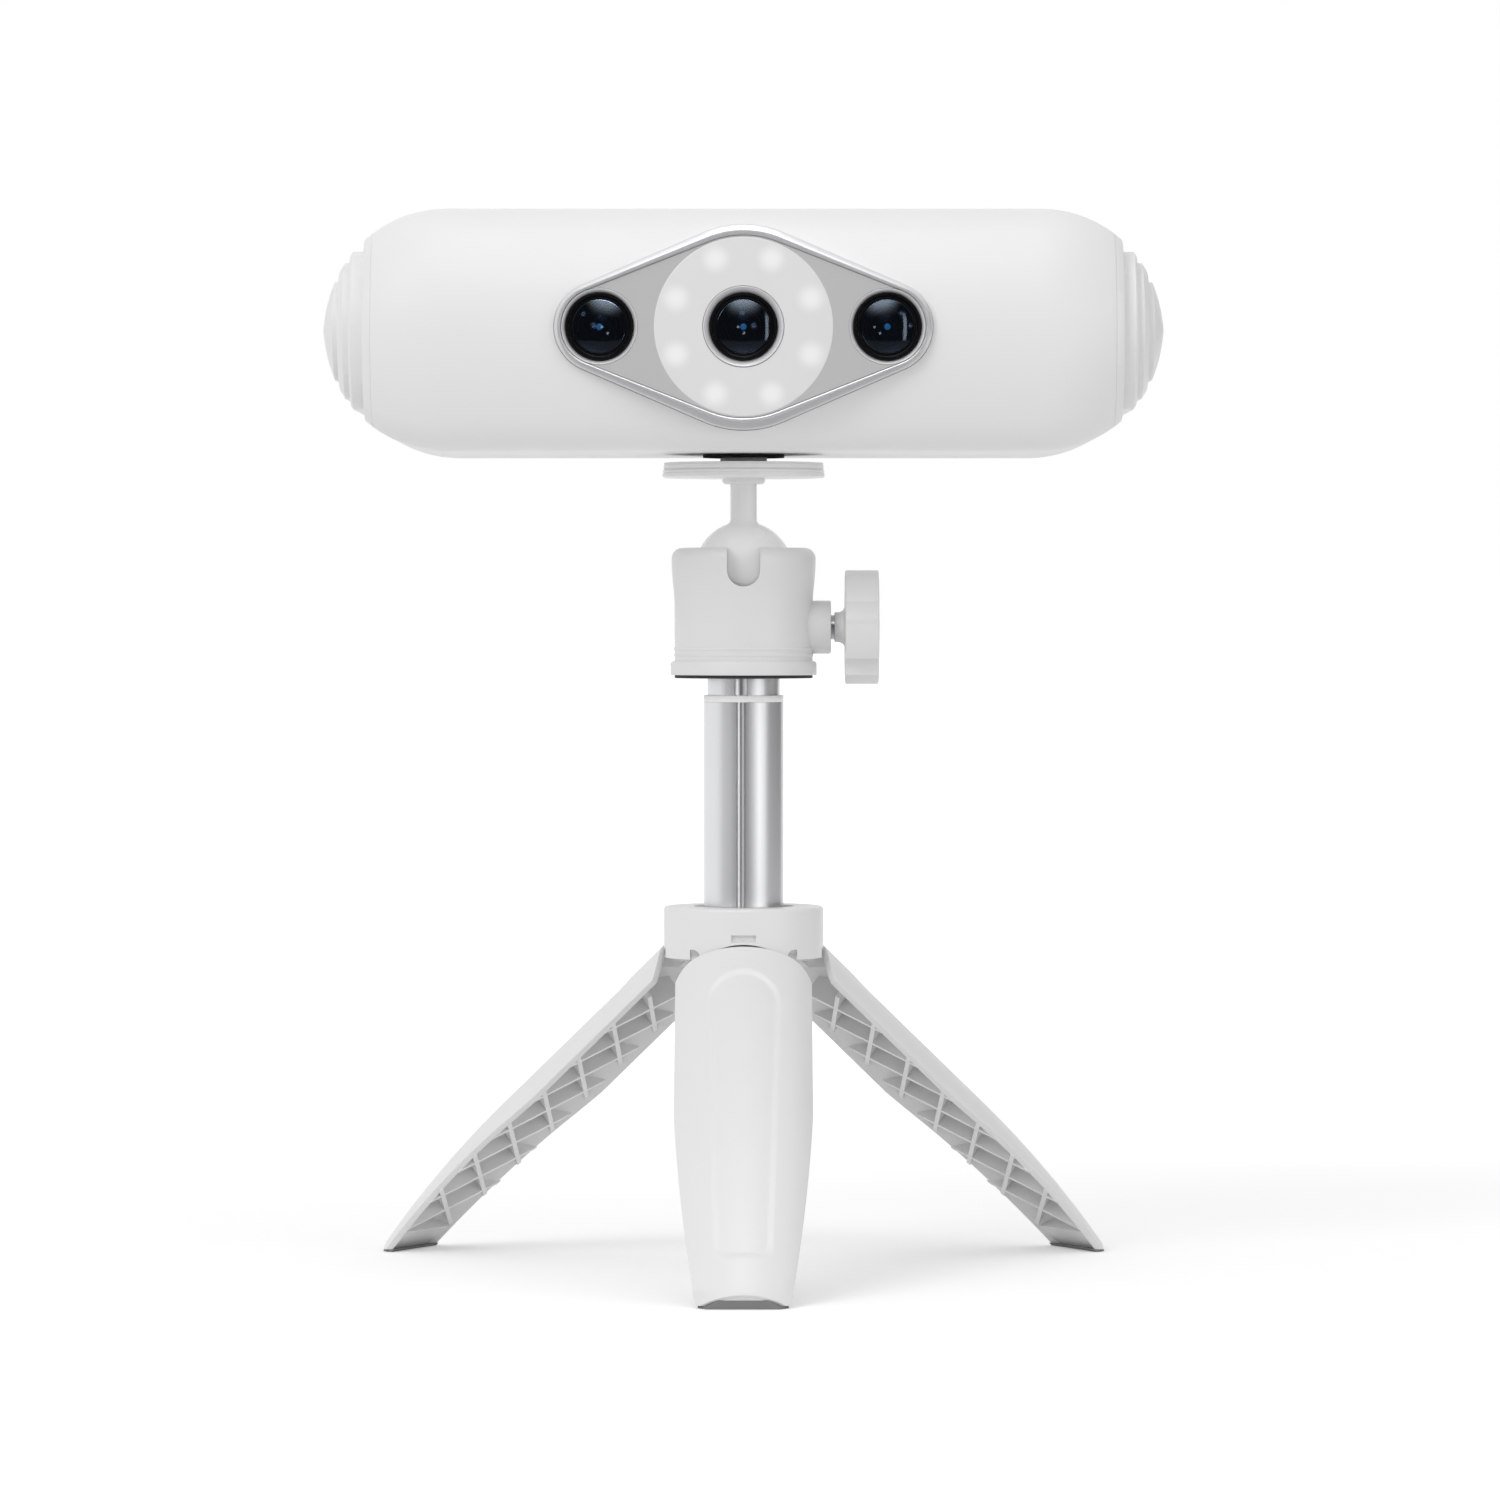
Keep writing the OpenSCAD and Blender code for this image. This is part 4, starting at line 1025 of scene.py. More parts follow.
        y, b, r = self.panel_y, self.barrel_r, self.lens_r
        mouth, back = y + self.barrel_in, self.barrel_d - self.barrel_in
        barrel = turned(mouth, [
            (b, back), (b, 0.12), (b - 0.08, 0.02), (b - 0.2, 0), (b - 0.5, 0.02), (b - 0.62, 0.2),
            (b - 0.66, 0.5), (b - 0.78, 0.54), (b - 0.9, 0.5), (r + 0.08, 0.52), (r + 0.02, 0.62), (r, 0.72),
            (r, 4.0), (3.6, 4.0), (3.4, 4.6), (3.0, 4.6), (2.8, 5.4), (0, 5.4), (0, back)])
        self.bench.deliver(barrel, name + "_barrel", BARREL_BLACK, 30)
        dome = self.dome_r
        sag = dome - math.sqrt(dome * dome - r * r)
        top = mouth + self.glass_in - sag
        face = arc((0, dome), dome, -math.pi / 2, math.asin(r / dome), 14)
        glass = turned(top, face + [(r, sag + 0.5), (r - 0.3, sag + 0.7), (0, sag + 0.7)], closed=False)
        self.bench.deliver(glass, name + "_lens", LENS_GLASS, 30)
        inner = turned(top, [(0.55, 2.0), (0.75, 1.92), (1.5, 2.08), (2.0, 2.4), (2.1, 2.5), (2.1, 3.4),
                             (0.55, 3.4)], 64)
        self.bench.deliver(inner, name + "_lens", LENS_INNER, 30, name=name + "_inner_lens", stands_in=False)
        # This small blue element in the middle of the lens carries the painted glint.
        pupil = turned(top, [(0, 1.95), (0.25, 1.98), (0.44, 2.08), (0.55, 2.25), (0.55, 3.3), (0, 3.3)],
                       48, False)
        self.bench.deliver(pupil, name + "_lens", LENS_BLUE_PAINTED_GLINT, 30, name=name + "_pupil", stands_in=False)
        iris = turned(top, [(2.1, 2.6), (2.5, 2.35), (2.9, 2.35), (3.0, 2.1), (3.6, 2.1), (3.7, 1.85),
                            (r, 1.85), (r, 3.4), (2.1, 3.4)], 72)
        self.bench.deliver(iris, name + "_barrel", BARREL_BLACK, 30, name=name + "_iris", stands_in=False)
        ring = turned(y, [(b + 0.06, 1.5), (b + 0.06, 0.75), (b + 0.1, 0.62), (trim - 0.22, 0.06 - lift),
                          (trim - 0.16, -lift), (trim - 0.08, -lift), (trim, 0.1 - lift), (trim, 1.5)])
        # Both camera trims are one solid, which the left ring stands for.
        node = "projector_trim" if name == "projector" else "camera_trims"
        stands_in = name != "right_camera"
        self.bench.deliver(ring, node, TRIM_SILVER, 35, name=name + "_trim_piece", stands_in=stands_in)

    def build(self) -> None:
        """Makes all the pieces of the lens panel."""
        self.bezel()
        self.panel()
        self.ring_light()
        self.lens_set(0.0, "projector", self.trim_r, self.trim_lift)
        for side, name in ((-1, "left_camera"), (1, "right_camera")):
            self.lens_set(side * self.camera_x, name, self.camera_trim_r, self.camera_trim_lift)


@dataclass
class BallHead:
    """Top plate, ball, notched housing and clamp knob, in millimetres about the column axis.

    Args:
        bench: Where pieces are finished.
    """

    bench: Bench
    head_z: float = 111.7
    ball_z: float = 131.4
    head_top: float = 135.6
    plate_z: float = 148.8
    plate_top: float = 151.6
    plate_r: float = 15.25
    bore_r: float = 3.5
    head_r: float = 13.55
    rim_r: float = 2.0
    ball_r: float = 9.2
    ball_gap: float = 0.1
    stem_r: float = 2.5
    stem_gap: float = 0.6
    washer_t: float = 0.6
    boss_r: float = 5.0
    screw_r: float = 2.3
    knob_z: float = 120.7
    knob_r: float = 10.7
    knob_len: float = 6.3
    knob_gap: float = 5.55
    lobes: int = 6
    lobe_turn: float = 15.0
    dip_r: float = 3.1
    dip_out: float = 2.0

    def plates(self) -> None:
        """Makes the top plate with its collar and its pad."""
        z, r, t, hole, bore = self.plate_z, self.plate_r, self.plate_top, self.stem_r + 0.02, self.bore_r
        mid = (z + t) / 2
        # Plate and pad get a white painted lighter than the head's, as painted light against the shade under
        # the body.
        plate = lathe([(hole, z - 1.2), (3.6, z - 1.2), (4.0, z - 0.8), (4.0, z - 0.12), (4.2, z),
                       (r - 0.25, z), (r, z + 0.2), (r, z + 0.75), (r - 0.12, z + 0.85), (r - 0.12, z + 1.0),
                       (r - 0.02, z + 1.1), (r - 0.02, mid - 0.12), (r - 0.15, mid), (hole, mid)])
        self.bench.deliver(plate, "top_plate", PLATE_WHITE_PAINTED_LIGHT, 40)
        pad = lathe([(bore, mid), (r - 0.35, mid), (r - 0.35, mid + 0.16), (r - 0.2, mid + 0.26),
                     (r - 0.2, t - 0.45), (r - 0.34, t - 0.36), (r - 0.34, t - 0.26), (r - 0.24, t - 0.16),
                     (r - 0.3, t - 0.02), (r - 0.42, t), (4.5, t), (4.4, t + 0.1), (4.4, t + 0.95),
                     (bore, t + 0.95)])
        self.bench.deliver(pad, "plate_pad", PLATE_WHITE_PAINTED_LIGHT, 40)

    def ball(self) -> None:
        """Makes the ball with its stem and the fillet between them."""
        r, s, end = self.ball_r, self.stem_r, self.plate_z + 1.4
        lean = math.asin((s + 0.5) / r)
        neck = self.ball_z + r * math.cos(lean)
        stem = [(s + 0.22, neck + 0.25), (s + 0.06, neck + 0.55), (s, neck + 0.9), (s, end), (0, end)]
        bm = lathe(arc((0, self.ball_z), r, -math.pi / 2, math.pi - lean, 40) + stem, closed=False)
        # The ball's lighter white is painted light against the shade under the body.
        self.bench.deliver(bm, "ball_stud", BALL_WHITE_PAINTED_LIGHT, 40)

    def housing(self) -> None:
        """Makes the notched housing with the boss of the clamp screw, and the washer under it."""
        z, r, top = self.head_z, self.head_r, self.head_top
        bore, waist = self.ball_r + self.ball_gap, self.head_r - 0.55
        mouth = math.sqrt(bore ** 2 - (top - self.ball_z) ** 2)
        rise = math.asin((top - self.ball_z) / bore)
        profile = [(bore, z), (r + 0.1, z), (r + 0.2, z + 0.12), (r + 0.2, z + 2.1), (r + 0.05, z + 2.45),
                   (waist, z + 2.75)]
        for low in (z + 3.55, z + 4.65):
            ridge = waist + 0.13
            profile += [(waist, low), (ridge, low + 0.11), (ridge, low + 0.43), (waist, low + 0.55)]
        profile += [(waist, z + 13.6), (waist + 0.1, z + 15.4), (waist + 0.32, z + 17.4),
                    (r - 0.06, z + 19.4), (r, z + 20.6)]
        profile += arc((r - self.rim_r, top - self.rim_r), self.rim_r, 0, math.pi / 2, 10)
        profile += [(mouth + 0.35, top), (mouth + 0.1, top - 0.1)]
        profile += arc((0, self.ball_z), bore, rise, -rise, 8)[1:]
        knob_axis = (0, 0, self.knob_z)
        boss = soften(bar(self.boss_r, r - 2.2, r + 2.85, "X", knob_axis, 64), 0.25)
        bm = carve(lathe(profile, steps=128), [boss], "UNION")
        slot_r, front = self.stem_r + self.stem_gap, -r - 6
        slot = bar(slot_r, front, 0.0, "Y", (0, 0, self.ball_z))
        gate = block((-slot_r, front, self.ball_z), (slot_r, 0, self.ball_z + 12))
        bm = carve(bm, [slot, gate, bar(self.screw_r + 0.05, 6, r + 6, "X", knob_axis)])
        self.bench.deliver(bm, "head_housing", HEAD_WHITE, 30)
        low, bore, edge = z - self.washer_t, self.bore_r, r - 0.55
        washer = lathe([(bore, low), (r - 0.7, low), (edge, low + 0.1), (edge, z - 0.1), (r - 0.7, z),
                        (bore, z)])
        self.bench.deliver(washer, "head_washer", PAD_RUBBER, 40)

    def knob(self) -> None:
        """Makes the lobed clamp knob with its flared neck."""
        bm, x0, r, s = bmesh.new(), self.head_r + self.knob_gap, self.knob_r, self.screw_r
        dip_at, pitch = r + self.dip_out, 360 / self.lobes
        away = (dip_at ** 2 + r ** 2 - self.dip_r ** 2) / (2 * dip_at)
        half = math.degrees(math.acos(away / r))
        sweep = math.degrees(math.acos((dip_at - away) / self.dip_r))

        def spot(radius: float, degrees: float) -> Vector:
            """Place at a radius and a turn about the knob's axis."""
            return Matrix.Rotation(math.radians(self.lobe_turn + degrees), 3, "X") @ Vector((x0, 0, -radius))

        vert = bm.verts.new(spot(r, half))
        for i in range(self.lobes):
            vert = chain_arc(bm, vert, (x0, 0, 0), "X", pitch - 2 * half, 14)
            vert = chain_arc(bm, vert, spot(dip_at, (i + 1) * pitch), "X", -2 * sweep, 14)
        bmesh.ops.remove_doubles(bm, verts=bm.verts, dist=0.01)
        push(bm, (self.knob_len, 0, 0))
        rims = [e for e in bm.edges if abs(e.verts[0].co.x - e.verts[1].co.x) < 1e-4]
        bmesh.ops.bevel(bm, geom=rims, offset=0.35, offset_type="OFFSET", segments=4, profile=0.5,
                        affect="EDGES", material=-1, clamp_overlap=True)
        bmesh.ops.translate(bm, vec=(0, 0, self.knob_z), verts=bm.verts)
        neck = lathe([(0, x0 - 2), (s + 0.35, x0 - 2), (s + 0.5, x0 - 1.85), (s + 0.55, x0 - 1.0),
                      (s + 0.9, x0 - 0.4), (s + 1.6, x0), (s + 1.6, x0 + 0.5), (0, x0 + 0.5)], "X",
                     (0, 0, self.knob_z), 64, False)
        self.bench.deliver(carve(bm, [neck], "UNION"), "clamp_knob", KNOB_WHITE, 30)

    def build(self) -> None:
        """Makes all the pieces of the ball head."""
        self.plates()
        self.ball()
        self.housing()
        self.knob()


@dataclass
class Stand:
    """Column, hub and feet, smoothed from their solids.

    Args:
        bench: Where pieces are finished.
    """

    bench: Bench
    collar_edge: float = 0.12

    def build(self) -> None:
        """Makes each piece from its solid."""
        for tube in ("upper_tube", "lower_tube"):
            self.bench.refine(tube, TUBE_BRIGHT)
        self.bench.refine("tube_collar", COLLAR_WHITE, self.collar_edge)
        self.bench.refine("hub", LEG_WHITE)
        for foot in ("foot_front", "foot_left", "foot_right"):
            self.bench.refine(foot, SOLE_RUBBER)


@dataclass
class Legs:
    """Folding legs: a curved shell with a shallow panel outside and crossing ribs inside.

    Sizes are in millimetres, about the column axis, for the front leg as it lies closed along the column.

    Args:
        bench: Where pieces are finished.
    """

    bench: Bench
    hinge_r: float = 11.5
    hinge_z: float = 59.5
    spread: float = 49.0
    outer_r: float = 15.2
    end_r: float = 12.0
    half_sector: float = 57.0
    wall: float = 1.2
    top: float = 1.6
    straight: float = 48.0
    corner_r: float = 4.5
    flare: float = 0.4
    side_r: float = 500.0
    side_from: float = 19.0
    foot_rise: float = 2.6
    sole: float = 0.5
    clear: float = 8.6
    rib_first: float = 14.0
    rib_pitch: float = 10.2
    rib_span: float = 14.8
    rib_t: float = 0.9
    rib_half: float = 13.5
    rib_top: float = 7.0
    end_len: float = 6.0
    sunk: float = 0.3
    knuckle_w: float = 6.2
    knuckle_r: float = 1.9
    knuckle_drop: float = 7.0
    pocket_w: float = 3.4
    pocket_low: float = 4.4
    pocket_high: float = 1.6
    pocket_wall: float = 0.8
    panel_r: float = 6.75
    panel_from: float = 14.6
    panel_to: float = 11.6
    panel_foot: float = 2.1
    panel_corner: float = 3.0
    panel_depth: float = 0.42
    rim_out: float = 0.45
    rim_w: float = 1.3
    edge: float = 0.35
    rows: int = 170
    row_power: float = 1.4

    @property
    def length(self) -> float:
        """Length of a leg below its hinge."""
        lean = math.radians(self.spread)
        return (self.hinge_z + math.sin(lean) * (self.end_r - self.hinge_r) - self.foot_rise) / math.cos(lean)

    @property
    def high(self) -> float:
        """Upper end of a closed leg."""
        return self.hinge_z - self.top

    @property
    def low(self) -> float:
        """Lower end of a closed leg."""
        return self.hinge_z - self.length

    def radius_at(self, z: float) -> float:
        """Outside radius of a closed leg.

        Args:
            z: Height.

        Returns:
            The radius at that height.
        """
        drop, run = self.outer_r - self.end_r, self.length - self.straight
        bend = (run * run + drop * drop) / (2 * drop)
        below = max(0.0, self.hinge_z - self.straight - z)
        return self.outer_r - bend + math.sqrt(bend * bend - below * below)

    def width_at(self, z: float) -> float:
        """Half width of a closed leg.

        Args:
            z: Height.

        Returns:
            The half width at that height.
        """
        sector = math.sin(math.radians(self.half_sector))
        full = self.outer_r * sector + self.flare
        over = z - (self.high - self.corner_r)
        if over > 0:
            full += math.sqrt(max(0.0, self.corner_r ** 2 - over ** 2)) - self.corner_r
        under = self.hinge_z - self.side_from - z
        if under > 0:
            full += math.sqrt(self.side_r ** 2 - under ** 2) - self.side_r
        return min(full, self.radius_at(z) * sector)

    def panel_line(self) -> list[Point]:
        """Outline of the shallow panel.

        Returns:
            Its points, in X and Z.
        """
        line = arc((0, self.hinge_z - self.panel_from), self.panel_r, 0, math.pi, 20)
        for s, start in ((-1, math.pi), (1, 1.5 * math.pi)):
            centre = (s * self.panel_foot, self.low + self.panel_to)
            line += arc(centre, self.panel_corner, start, math.pi / 2, 8)
        return line

    def panel_share(self, x: float, z: float, line: Sequence[Point]) -> float:
        """How deep the panel lies at a place.

        Args:
            x: Place across the leg.
            z: Place along the leg.
            line: Outline of the panel.

        Returns:
            The share of its full depth, with a soft rim.
        """
        low = self.low + self.panel_to - self.panel_corner - self.rim_w
        high = self.hinge_z - self.panel_from + self.panel_r + self.rim_w
        if abs(x) > self.panel_r + self.rim_w or not low < z < high:
            return 0.0
        near, inside = math.inf, False
        for (x0, z0), (x1, z1) in zip(line, line[1:] + line[:1]):
            dx, dz = x1 - x0, z1 - z0
            t = min(1.0, max(0.0, ((x - x0) * dx + (z - z0) * dz) / max(1e-9, dx * dx + dz * dz)))
            near = min(near, math.hypot(x - x0 - t * dx, z - z0 - t * dz))
            if (z0 > z) != (z1 > z) and x < x0 + (z - z0) * dx / dz:
                inside = not inside
        w = min(1.0, max(0.0, ((near if inside else -near) + self.rim_out) / self.rim_w))
        return w * w * (3 - 2 * w)

    def curved_sheet(self) -> Mesh:
        """Outer face of a closed leg, as a sheet of rows.

        Returns:
            The open mesh, which faces outwards.
        """
        bm, rows = bmesh.new(), []
        for i in range(self.rows + 1):
            z = self.high - (self.high - self.low) * (i / self.rows) ** self.row_power
            r = self.radius_at(z)
            half = math.asin(min(1.0, self.width_at(z) / r))
            row = bmesh.new()
            start = row.verts.new((-r * math.sin(half), -r * math.cos(half), z))
            bmesh.ops.spin(row, geom=[start], cent=(0, 0, 0), axis=(0, 0, 1), dvec=(0, 0, 0), angle=2 * half,
                           steps=84, use_merge=False, use_duplicate=False)
            count = len(bm.edges)
            add_to(bm, row)
            bm.edges.ensure_lookup_table()
            rows.append(bm.edges[count:])
        for one, two in zip(rows, rows[1:]):
            bmesh.ops.bridge_loops(bm, edges=one + two)
        bmesh.ops.recalc_face_normals(bm, faces=bm.faces)
        if max(bm.faces, key=lambda f: -f.calc_center_median().y).normal.y > 0:
            bmesh.ops.reverse_faces(bm, faces=bm.faces)
        return bm

    def shell(self) -> Mesh:
        """Shell of a closed leg, with its panel pressed in and the pockets beside its knuckle.

        Returns:
            The closed mesh.
        """
        bm = soften(carve(self.curved_sheet(), [], wall=self.wall), self.edge, 50, 3)
        line = self.panel_line()
        weights = bm.verts.layers.deform.verify()
        for vert in bm.verts:
            x, y, z = vert.co
            share = self.panel_share(x, z, line) if self.radius_at(z) - math.hypot(x, y) < 0.05 else 0.0
            if share:
                vert[weights][0] = share
        pockets = []
        for s in (-1, 1):
            x0, x1 = sorted((s * self.knuckle_w / 2, s * (self.knuckle_w / 2 + self.pocket_w)))
            low, high = self.hinge_z - self.pocket_low, self.hinge_z + self.pocket_high
            room = block((x0, -self.outer_r - 1, low), (x1, -6, high))
            limit = bar(self.outer_r - self.pocket_wall, self.hinge_z - 6, self.hinge_z + 3, "Z", steps=96)
            pockets.append(carve(room, [limit], "INTERSECT"))
        return carve(bm, pockets, sink=self.panel_depth)

    def ribs(self) -> Mesh:
        """Crossing ribs and the solid end of a closed leg.

        Returns:
            The closed mesh.
        """
        out, half_t = -self.outer_r - 1, self.rib_t / 2
        tilt = math.atan2(self.rib_span, self.rib_pitch)
        slabs = []
        for i in range(int((self.length - self.rib_first - 5) // self.rib_pitch) + 1):
            for s in (-1, 1):
                upper = self.rib_top if i == 0 else self.rib_half
                slab = block((-half_t, out, -self.rib_half), (half_t, -self.clear, upper))
                bmesh.ops.rotate(slab, matrix=Matrix.Rotation(s * tilt, 3, "Y"), verts=slab.verts)
                place = (0, 0, self.hinge_z - self.rib_first - i * self.rib_pitch)
                bmesh.ops.translate(slab, vec=place, verts=slab.verts)
                slabs.append(slab)
        slabs.append(block((-14, out, self.low - 1), (14, -self.clear, self.low + self.end_len)))
        steps = [self.low + (self.high - self.low) * i / 60 for i in range(61)]
        inside = [(self.radius_at(z) - self.wall + self.sunk, z) for z in steps]
        core = lathe([(0, self.low), *inside, (0, self.high)], steps=128, closed=False)
        border = [(s * (self.width_at(z) - self.sunk), out - 1, z)
                  for s, heights in ((1, steps), (-1, steps[::-1])) for z in heights]
        sides = push(draw(border), (0, 14, 0))
        return carve(carve(slabs[0], slabs[1:], "UNION"), [core, sides], "INTERSECT")

    def knuckle(self) -> Mesh:
        """Hinge knuckle of a closed leg.

        Returns:
            The closed mesh.
        """
        h, z, w = -self.hinge_r, self.hinge_z, self.knuckle_w / 2
        foot, low = -self.outer_r + 0.7, self.hinge_z - self.knuckle_drop
        corners = [(h + 1.8, z - 0.5), (h, z), (h - 1.7, z - 0.6), (foot, self.high - 0.1), (foot, low),
                   (-self.outer_r + self.wall + 0.6, low), (h + 1.8, z - 2.5)]
        bm = push(draw([(-w, *corner) for corner in corners]), (2 * w, 0, 0))
        return carve(bm, [bar(self.knuckle_r, -w, w, "X", (0, h, z))], "UNION")

    def build(self) -> None:
        """Makes one leg, spreads it and sets it at its three places."""
        whole = bmesh.new()
        lean = Matrix.Rotation(math.radians(-self.spread), 3, "X")
        for part in (self.shell(), self.ribs(), self.knuckle()):
            bmesh.ops.rotate(part, cent=(0, -self.hinge_r, self.hinge_z), matrix=lean, verts=part.verts)
            below_sole = block((-40, -120, -60), (40, 40, self.sole))
            add_to(whole, carve(part, [below_sole]))
        for name, turn in (("leg_front", 0), ("leg_right", 120), ("leg_left", 240)):
            leg, about = whole.copy(), Matrix.Rotation(math.radians(turn), 3, "Z")
            bmesh.ops.rotate(leg, cent=(0, 0, 0), matrix=about, verts=leg.verts)
            self.bench.deliver(leg, name, LEG_WHITE, 35)
        whole.free()


@dataclass
class Studio:
    """White studio with a soft key from the left, and the camera of the photograph, in metres.

    Args:
        column_y: Place of the column axis along Y.
    """

    column_y: float
    distance: float = 1.250
    eye_x: float = 0.0012
    eye_z: float = 0.122
    pitch: float = 1.12
    lens: float = 159.3
    sensor: float = 36.0
    room_light: float = 0.68
    lamp_aim: float = 0.11
    floor_size: float = 80.0
    floor_drop: float = 0.00005
    floor_grey: Point = (0.95, 0.50)
    floor_glow: Point = (0.18, 0.80)
    floor_reach: Point = (0.15, 0.70)
    hood_size: Point = (0.66, 0.40)
    hood_rise: float = 0.15
    hood_gap: float = 0.13
    body_front: Point = (-BODY_HALF_D * MM, BODY_MID_Z * MM)
    hood_dark: float = 0.06
    window: float = 5.5
    window_rise: Point = (0.035, 0.125)
    window_side: Point = (-0.035, 0.045)
    window_lean: float = 0.45
    strip: float = 3.6
    strip_left: Point = (0.086, 0.094)
    strip_right: Point = (0.101, 0.109)
    strip_ends: Point = (0.03, 0.075)
    spark: float = 4.5
    spark_fade: Point = (0.002, 0.007)
    sparks: tuple[Point, ...] = ((-0.019, 0.004), (0.002, -0.019))

    def camera(self) -> None:
        """Sets the camera up as the photograph was taken."""
        data = bpy.data.cameras.new("camera")
        data.lens, data.sensor_width = self.lens, self.sensor
        data.clip_start, data.clip_end = 0.05, 50.0
        cam = bpy.data.objects.new("camera", data)
        cam.location = (self.eye_x, self.column_y - self.distance, self.eye_z)
        cam.rotation_euler = (math.radians(90 - self.pitch), 0, 0)
        bpy.context.scene.collection.objects.link(cam)
        bpy.context.scene.camera = cam

    def world(self) -> None:
        """Even room light, with white where the camera, a mirror or a glass looks past the object."""
        world = bpy.data.worlds.new("studio")
        bpy.context.scene.world = world
        world.use_nodes = True
        tree = Wiring(world.node_tree)
        room = tree.feed(world.node_tree.nodes["Background"], {"Color": WHITE, "Strength": self.room_light})
        white = tree.add("Background", {"Color": WHITE, "Strength": 1.0})
        mix = tree.add("MixShader", {"Fac": tree.seen(), 1: room.outputs[0], 2: white.outputs[0]})
        tree.surface(mix.outputs["Shader"], "World Output")

    def lamp(self, name: str, place: Place, size: float, watts: float) -> None:
        """Hangs one square soft box that faces the object.

        Args:
            name: Name of the lamp.
            place: Where it hangs, from the column axis.
            size: Length of its side.
            watts: Its power.
        """
        data = bpy.data.lights.new(name, "AREA")
        data.shape, data.size, data.energy = "SQUARE", size, watts
        lamp = bpy.data.objects.new(name, data)
        lamp.location = Vector(place) + Vector((0, self.column_y, 0))
        aim = Vector((0, 0, self.lamp_aim))
        lamp.rotation_euler = (aim - Vector(place)).to_track_quat("-Z", "Y").to_euler()
        bpy.context.scene.collection.objects.link(lamp)

    def sheet(self, name: str, size: Point, place: Place,
              shown: bool = False) -> tuple[bpy.types.Object, Wiring]:
        """Lays one flat sheet.

        Args:
            name: Name of the sheet and of its material.
            size: Its width and height.
            place: Its middle, from the column axis.
            shown: Whether more than shiny surfaces and glass shows it.

        Returns:
            The sheet, and the wiring of its material.
        """
        bm = bmesh.new()
        bmesh.ops.create_grid(bm, x_segments=1, y_segments=1, size=0.5)
        bmesh.ops.scale(bm, vec=(*size, 1), verts=bm.verts)
        sheet = set_down(bm, name)
        sheet.location = Vector(place) + Vector((0, self.column_y, 0))
        sheet.visible_camera = sheet.visible_diffuse = shown
        sheet.visible_shadow = sheet.visible_volume_scatter = shown
        mat = bpy.data.materials.new(name)
        mat.use_nodes = True
        mat.node_tree.nodes.remove(mat.node_tree.nodes["Principled BSDF"])
        sheet.data.materials.append(mat)
        return sheet, Wiring(mat.node_tree)

    def floor(self) -> None:
        """A wide white floor that keeps the object's shadow."""
        tree = self.sheet("floor", (self.floor_size, self.floor_size), (0, 0, -self.floor_drop), True)[1]
        away = tree.add("VectorMath", {0: tree.place()}, operation="LENGTH").outputs["Value"]
        shade = tree.ramp(away, self.floor_reach, self.floor_grey)
        glow = tree.reckon("MULTIPLY", tree.seen(), tree.ramp(away, self.floor_reach, self.floor_glow))
        matte = tree.add("BsdfDiffuse", {"Color": shade}).outputs["BSDF"]
        light = tree.add("Emission", {"Strength": glow}).outputs["Emission"]
        tree.surface(tree.add("AddShader", {0: matte, 1: light}).outputs["Shader"])

    def card(self, name: str, place: Place, aim: Place, size: Point, level: float) -> None:
        """Stands up one card that only shiny surfaces and glass show.

        Args:
            name: Name of the card.
            place: Its middle, from the column axis.
            aim: Point that it faces, from the column axis.
            size: Its width and height.
            level: Its brightness, where 1 is white.
        """
        card, tree = self.sheet(name, size, place)
        card.rotation_euler = (Vector(place) - Vector(aim)).to_track_quat("Z", "Y").to_euler()
        tree.surface(tree.add("Emission", {"Strength": level}).outputs["Emission"])

    def hood(self) -> None:
        """Hangs a dark sheet before the lenses, with a soft window at its top and a strip on its right."""
        front_y, mid_z = self.body_front
        hood, tree = self.sheet("hood", self.hood_size, (0, front_y - self.hood_gap, mid_z))
        hood.data.transform(Matrix.Rotation(math.pi / 2, 4, "X") @ Matrix.Translation((0, self.hood_rise, 0)))
        parts = tree.add("SeparateXYZ", {"Vector": tree.place()}).outputs
        x, z = parts["X"], parts["Z"]

        def patch(level: float, *fades: tuple[Socket, Point]) -> Socket:
            """Adds a patch of light.

            Args:
                level: Its brightness.
                fades: A value and its run for the rise of the patch, then for each of its other sides.

            Returns:
                The light of the patch.
            """
            light = tree.ramp(*fades[0], (0.0, level), True)
            for fade in fades[1:]:
                light = tree.reckon("MULTIPLY", light, tree.ramp(*fade, (1.0, 0.0), True))
            return light

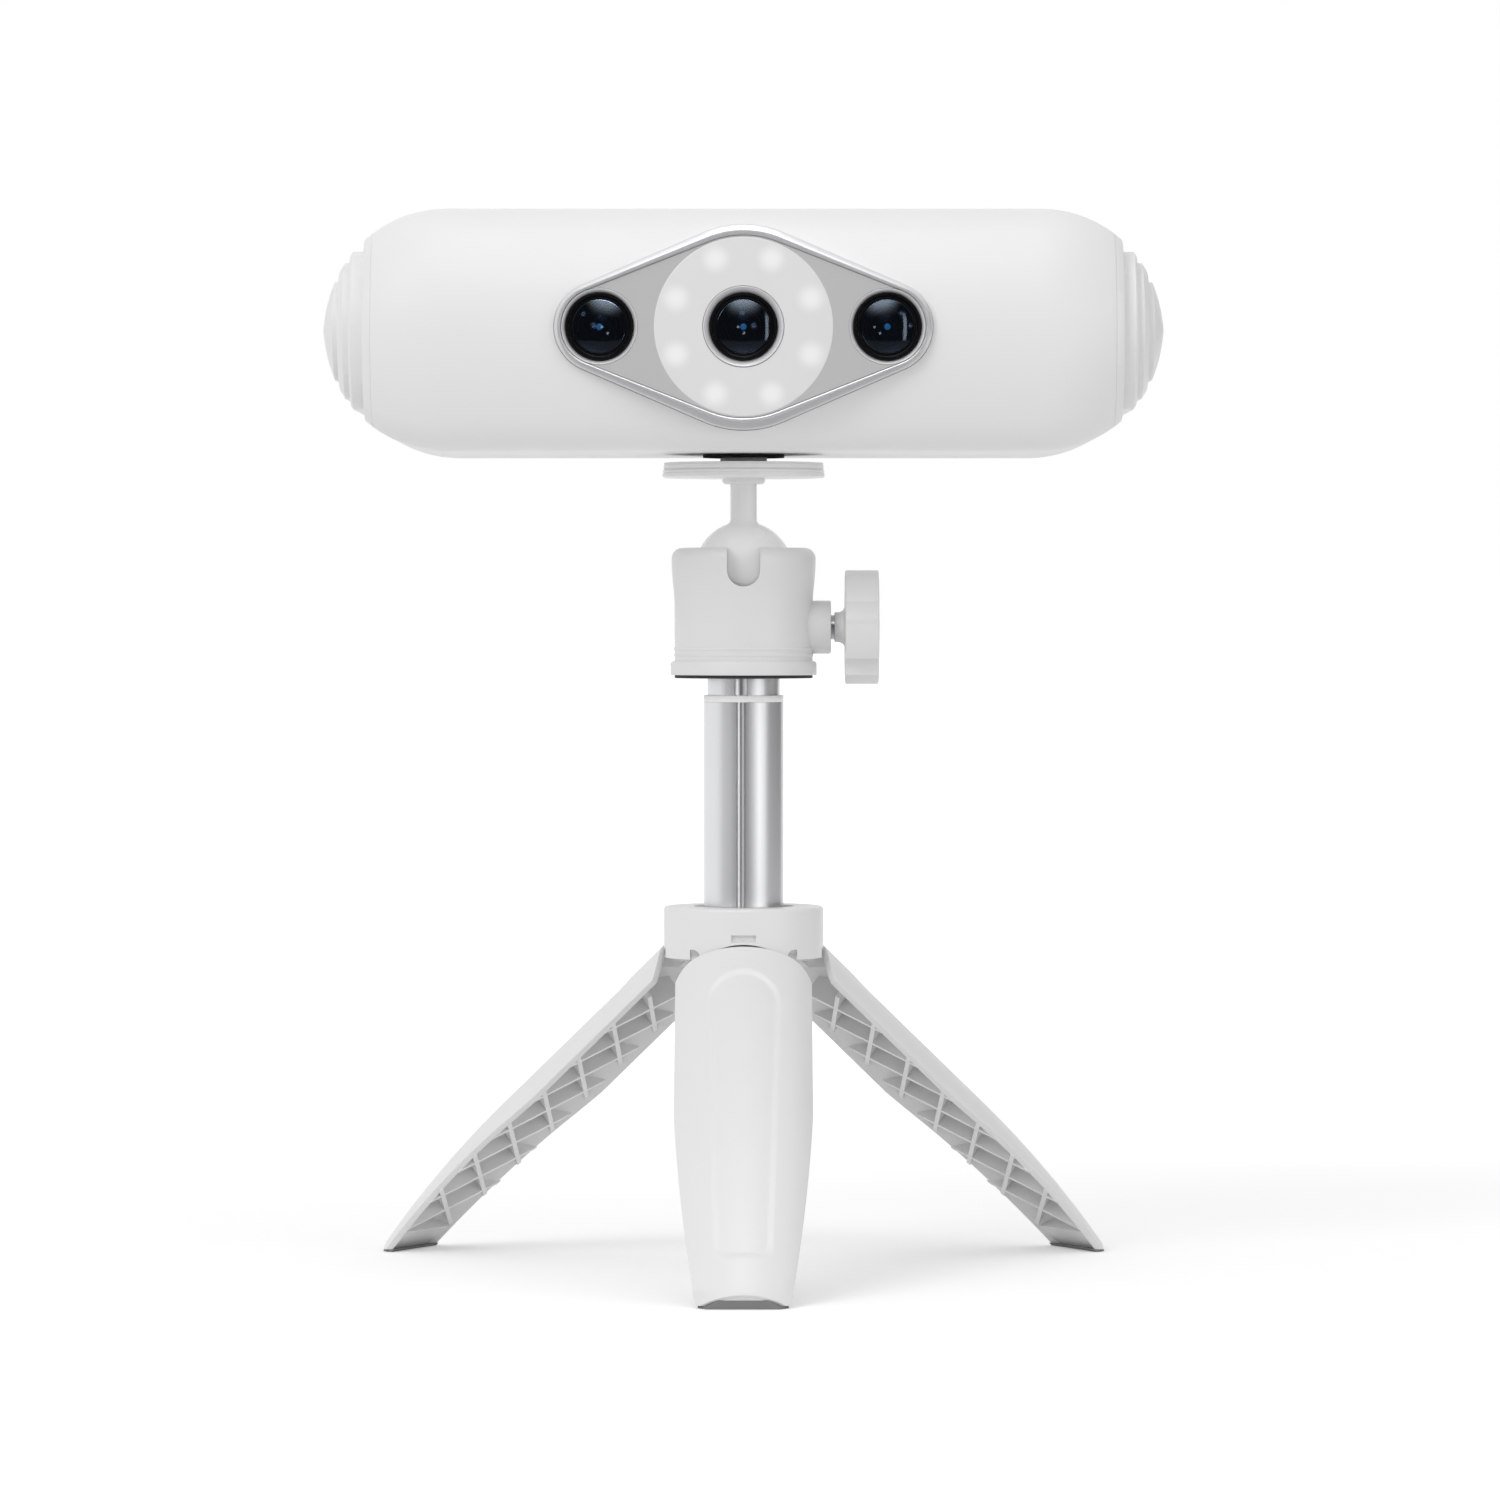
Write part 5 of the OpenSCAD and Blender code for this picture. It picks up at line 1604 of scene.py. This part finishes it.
        lean = tree.reckon("MULTIPLY", z, self.window_lean)
        wide = tree.reckon("SUBTRACT", tree.reckon("ABSOLUTE", x), lean)
        tall = tree.reckon("ABSOLUTE", z)
        window = patch(self.window, (z, self.window_rise), (wide, self.window_side))
        strip = patch(self.strip, (x, self.strip_left), (x, self.strip_right), (tall, self.strip_ends))
        level = tree.reckon("ADD", window, strip)
        for at_x, at_z in self.sparks:
            away = tree.length(tree.reckon("SUBTRACT", x, at_x), tree.reckon("SUBTRACT", z, at_z))
            level = tree.reckon("ADD", level, tree.ramp(away, self.spark_fade, (self.spark, 0.0), True))
        light = tree.add("Emission", {"Strength": tree.reckon("ADD", level, self.hood_dark)})
        tree.surface(light.outputs["Emission"])

    def build(self) -> None:
        """Sets up the camera, the light and the floor."""
        bpy.context.scene.view_settings.view_transform = "Standard"
        self.camera()
        self.world()
        self.floor()
        self.lamp("key_left", (-0.85, -1.05, 0.95), 0.8, 7.0)
        self.lamp("top", (0.0, -0.25, 1.3), 0.9, 1.0)
        self.lamp("fill_right", (0.95, -0.85, 0.30), 0.8, 2.0)
        self.card("dark_front", (-0.25, -2.1, 0.30), (0, 0, 0.15), (1.5, 1.1), 0.10)
        self.card("dark_right", (1.15, 0.35, 0.25), (0, 0, 0.15), (1.7, 1.2), 0.12)
        self.card("dark_low", (0.0, -1.1, 0.002), (0, -1.1, 1.0), (2.4, 1.7), 0.25)
        self.card("dark_near", (0.0, -0.15, 0.003), (0, -0.15, 1.0), (0.7, 0.2), 0.30)
        self.card("strip_right", (0.90, -0.85, 0.22), (0, 0, 0.17), (0.10, 0.8), 3.0)
        self.hood()


def dress_solids() -> None:
    """Gives each solid that shows its finish."""
    for finish, names in SHOWN_SOLIDS.items():
        for name in names:
            mesh = frame["nodes"][name].data
            mesh.materials.clear()
            mesh.materials.append(finish.material())


def main() -> None:
    """Builds the studio and dresses the object."""
    low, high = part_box("tripod_insert")
    column_y = (low.y + high.y) / 2
    Studio(column_y).build()
    dress_solids()
    bench = Bench(column_y)
    panel = LensPanel(bench)
    ScannerBody(bench).build(panel)
    panel.build()
    BallHead(bench).build()
    Stand(bench).build()
    Legs(bench).build()


if __name__ == "__main__":
    main()
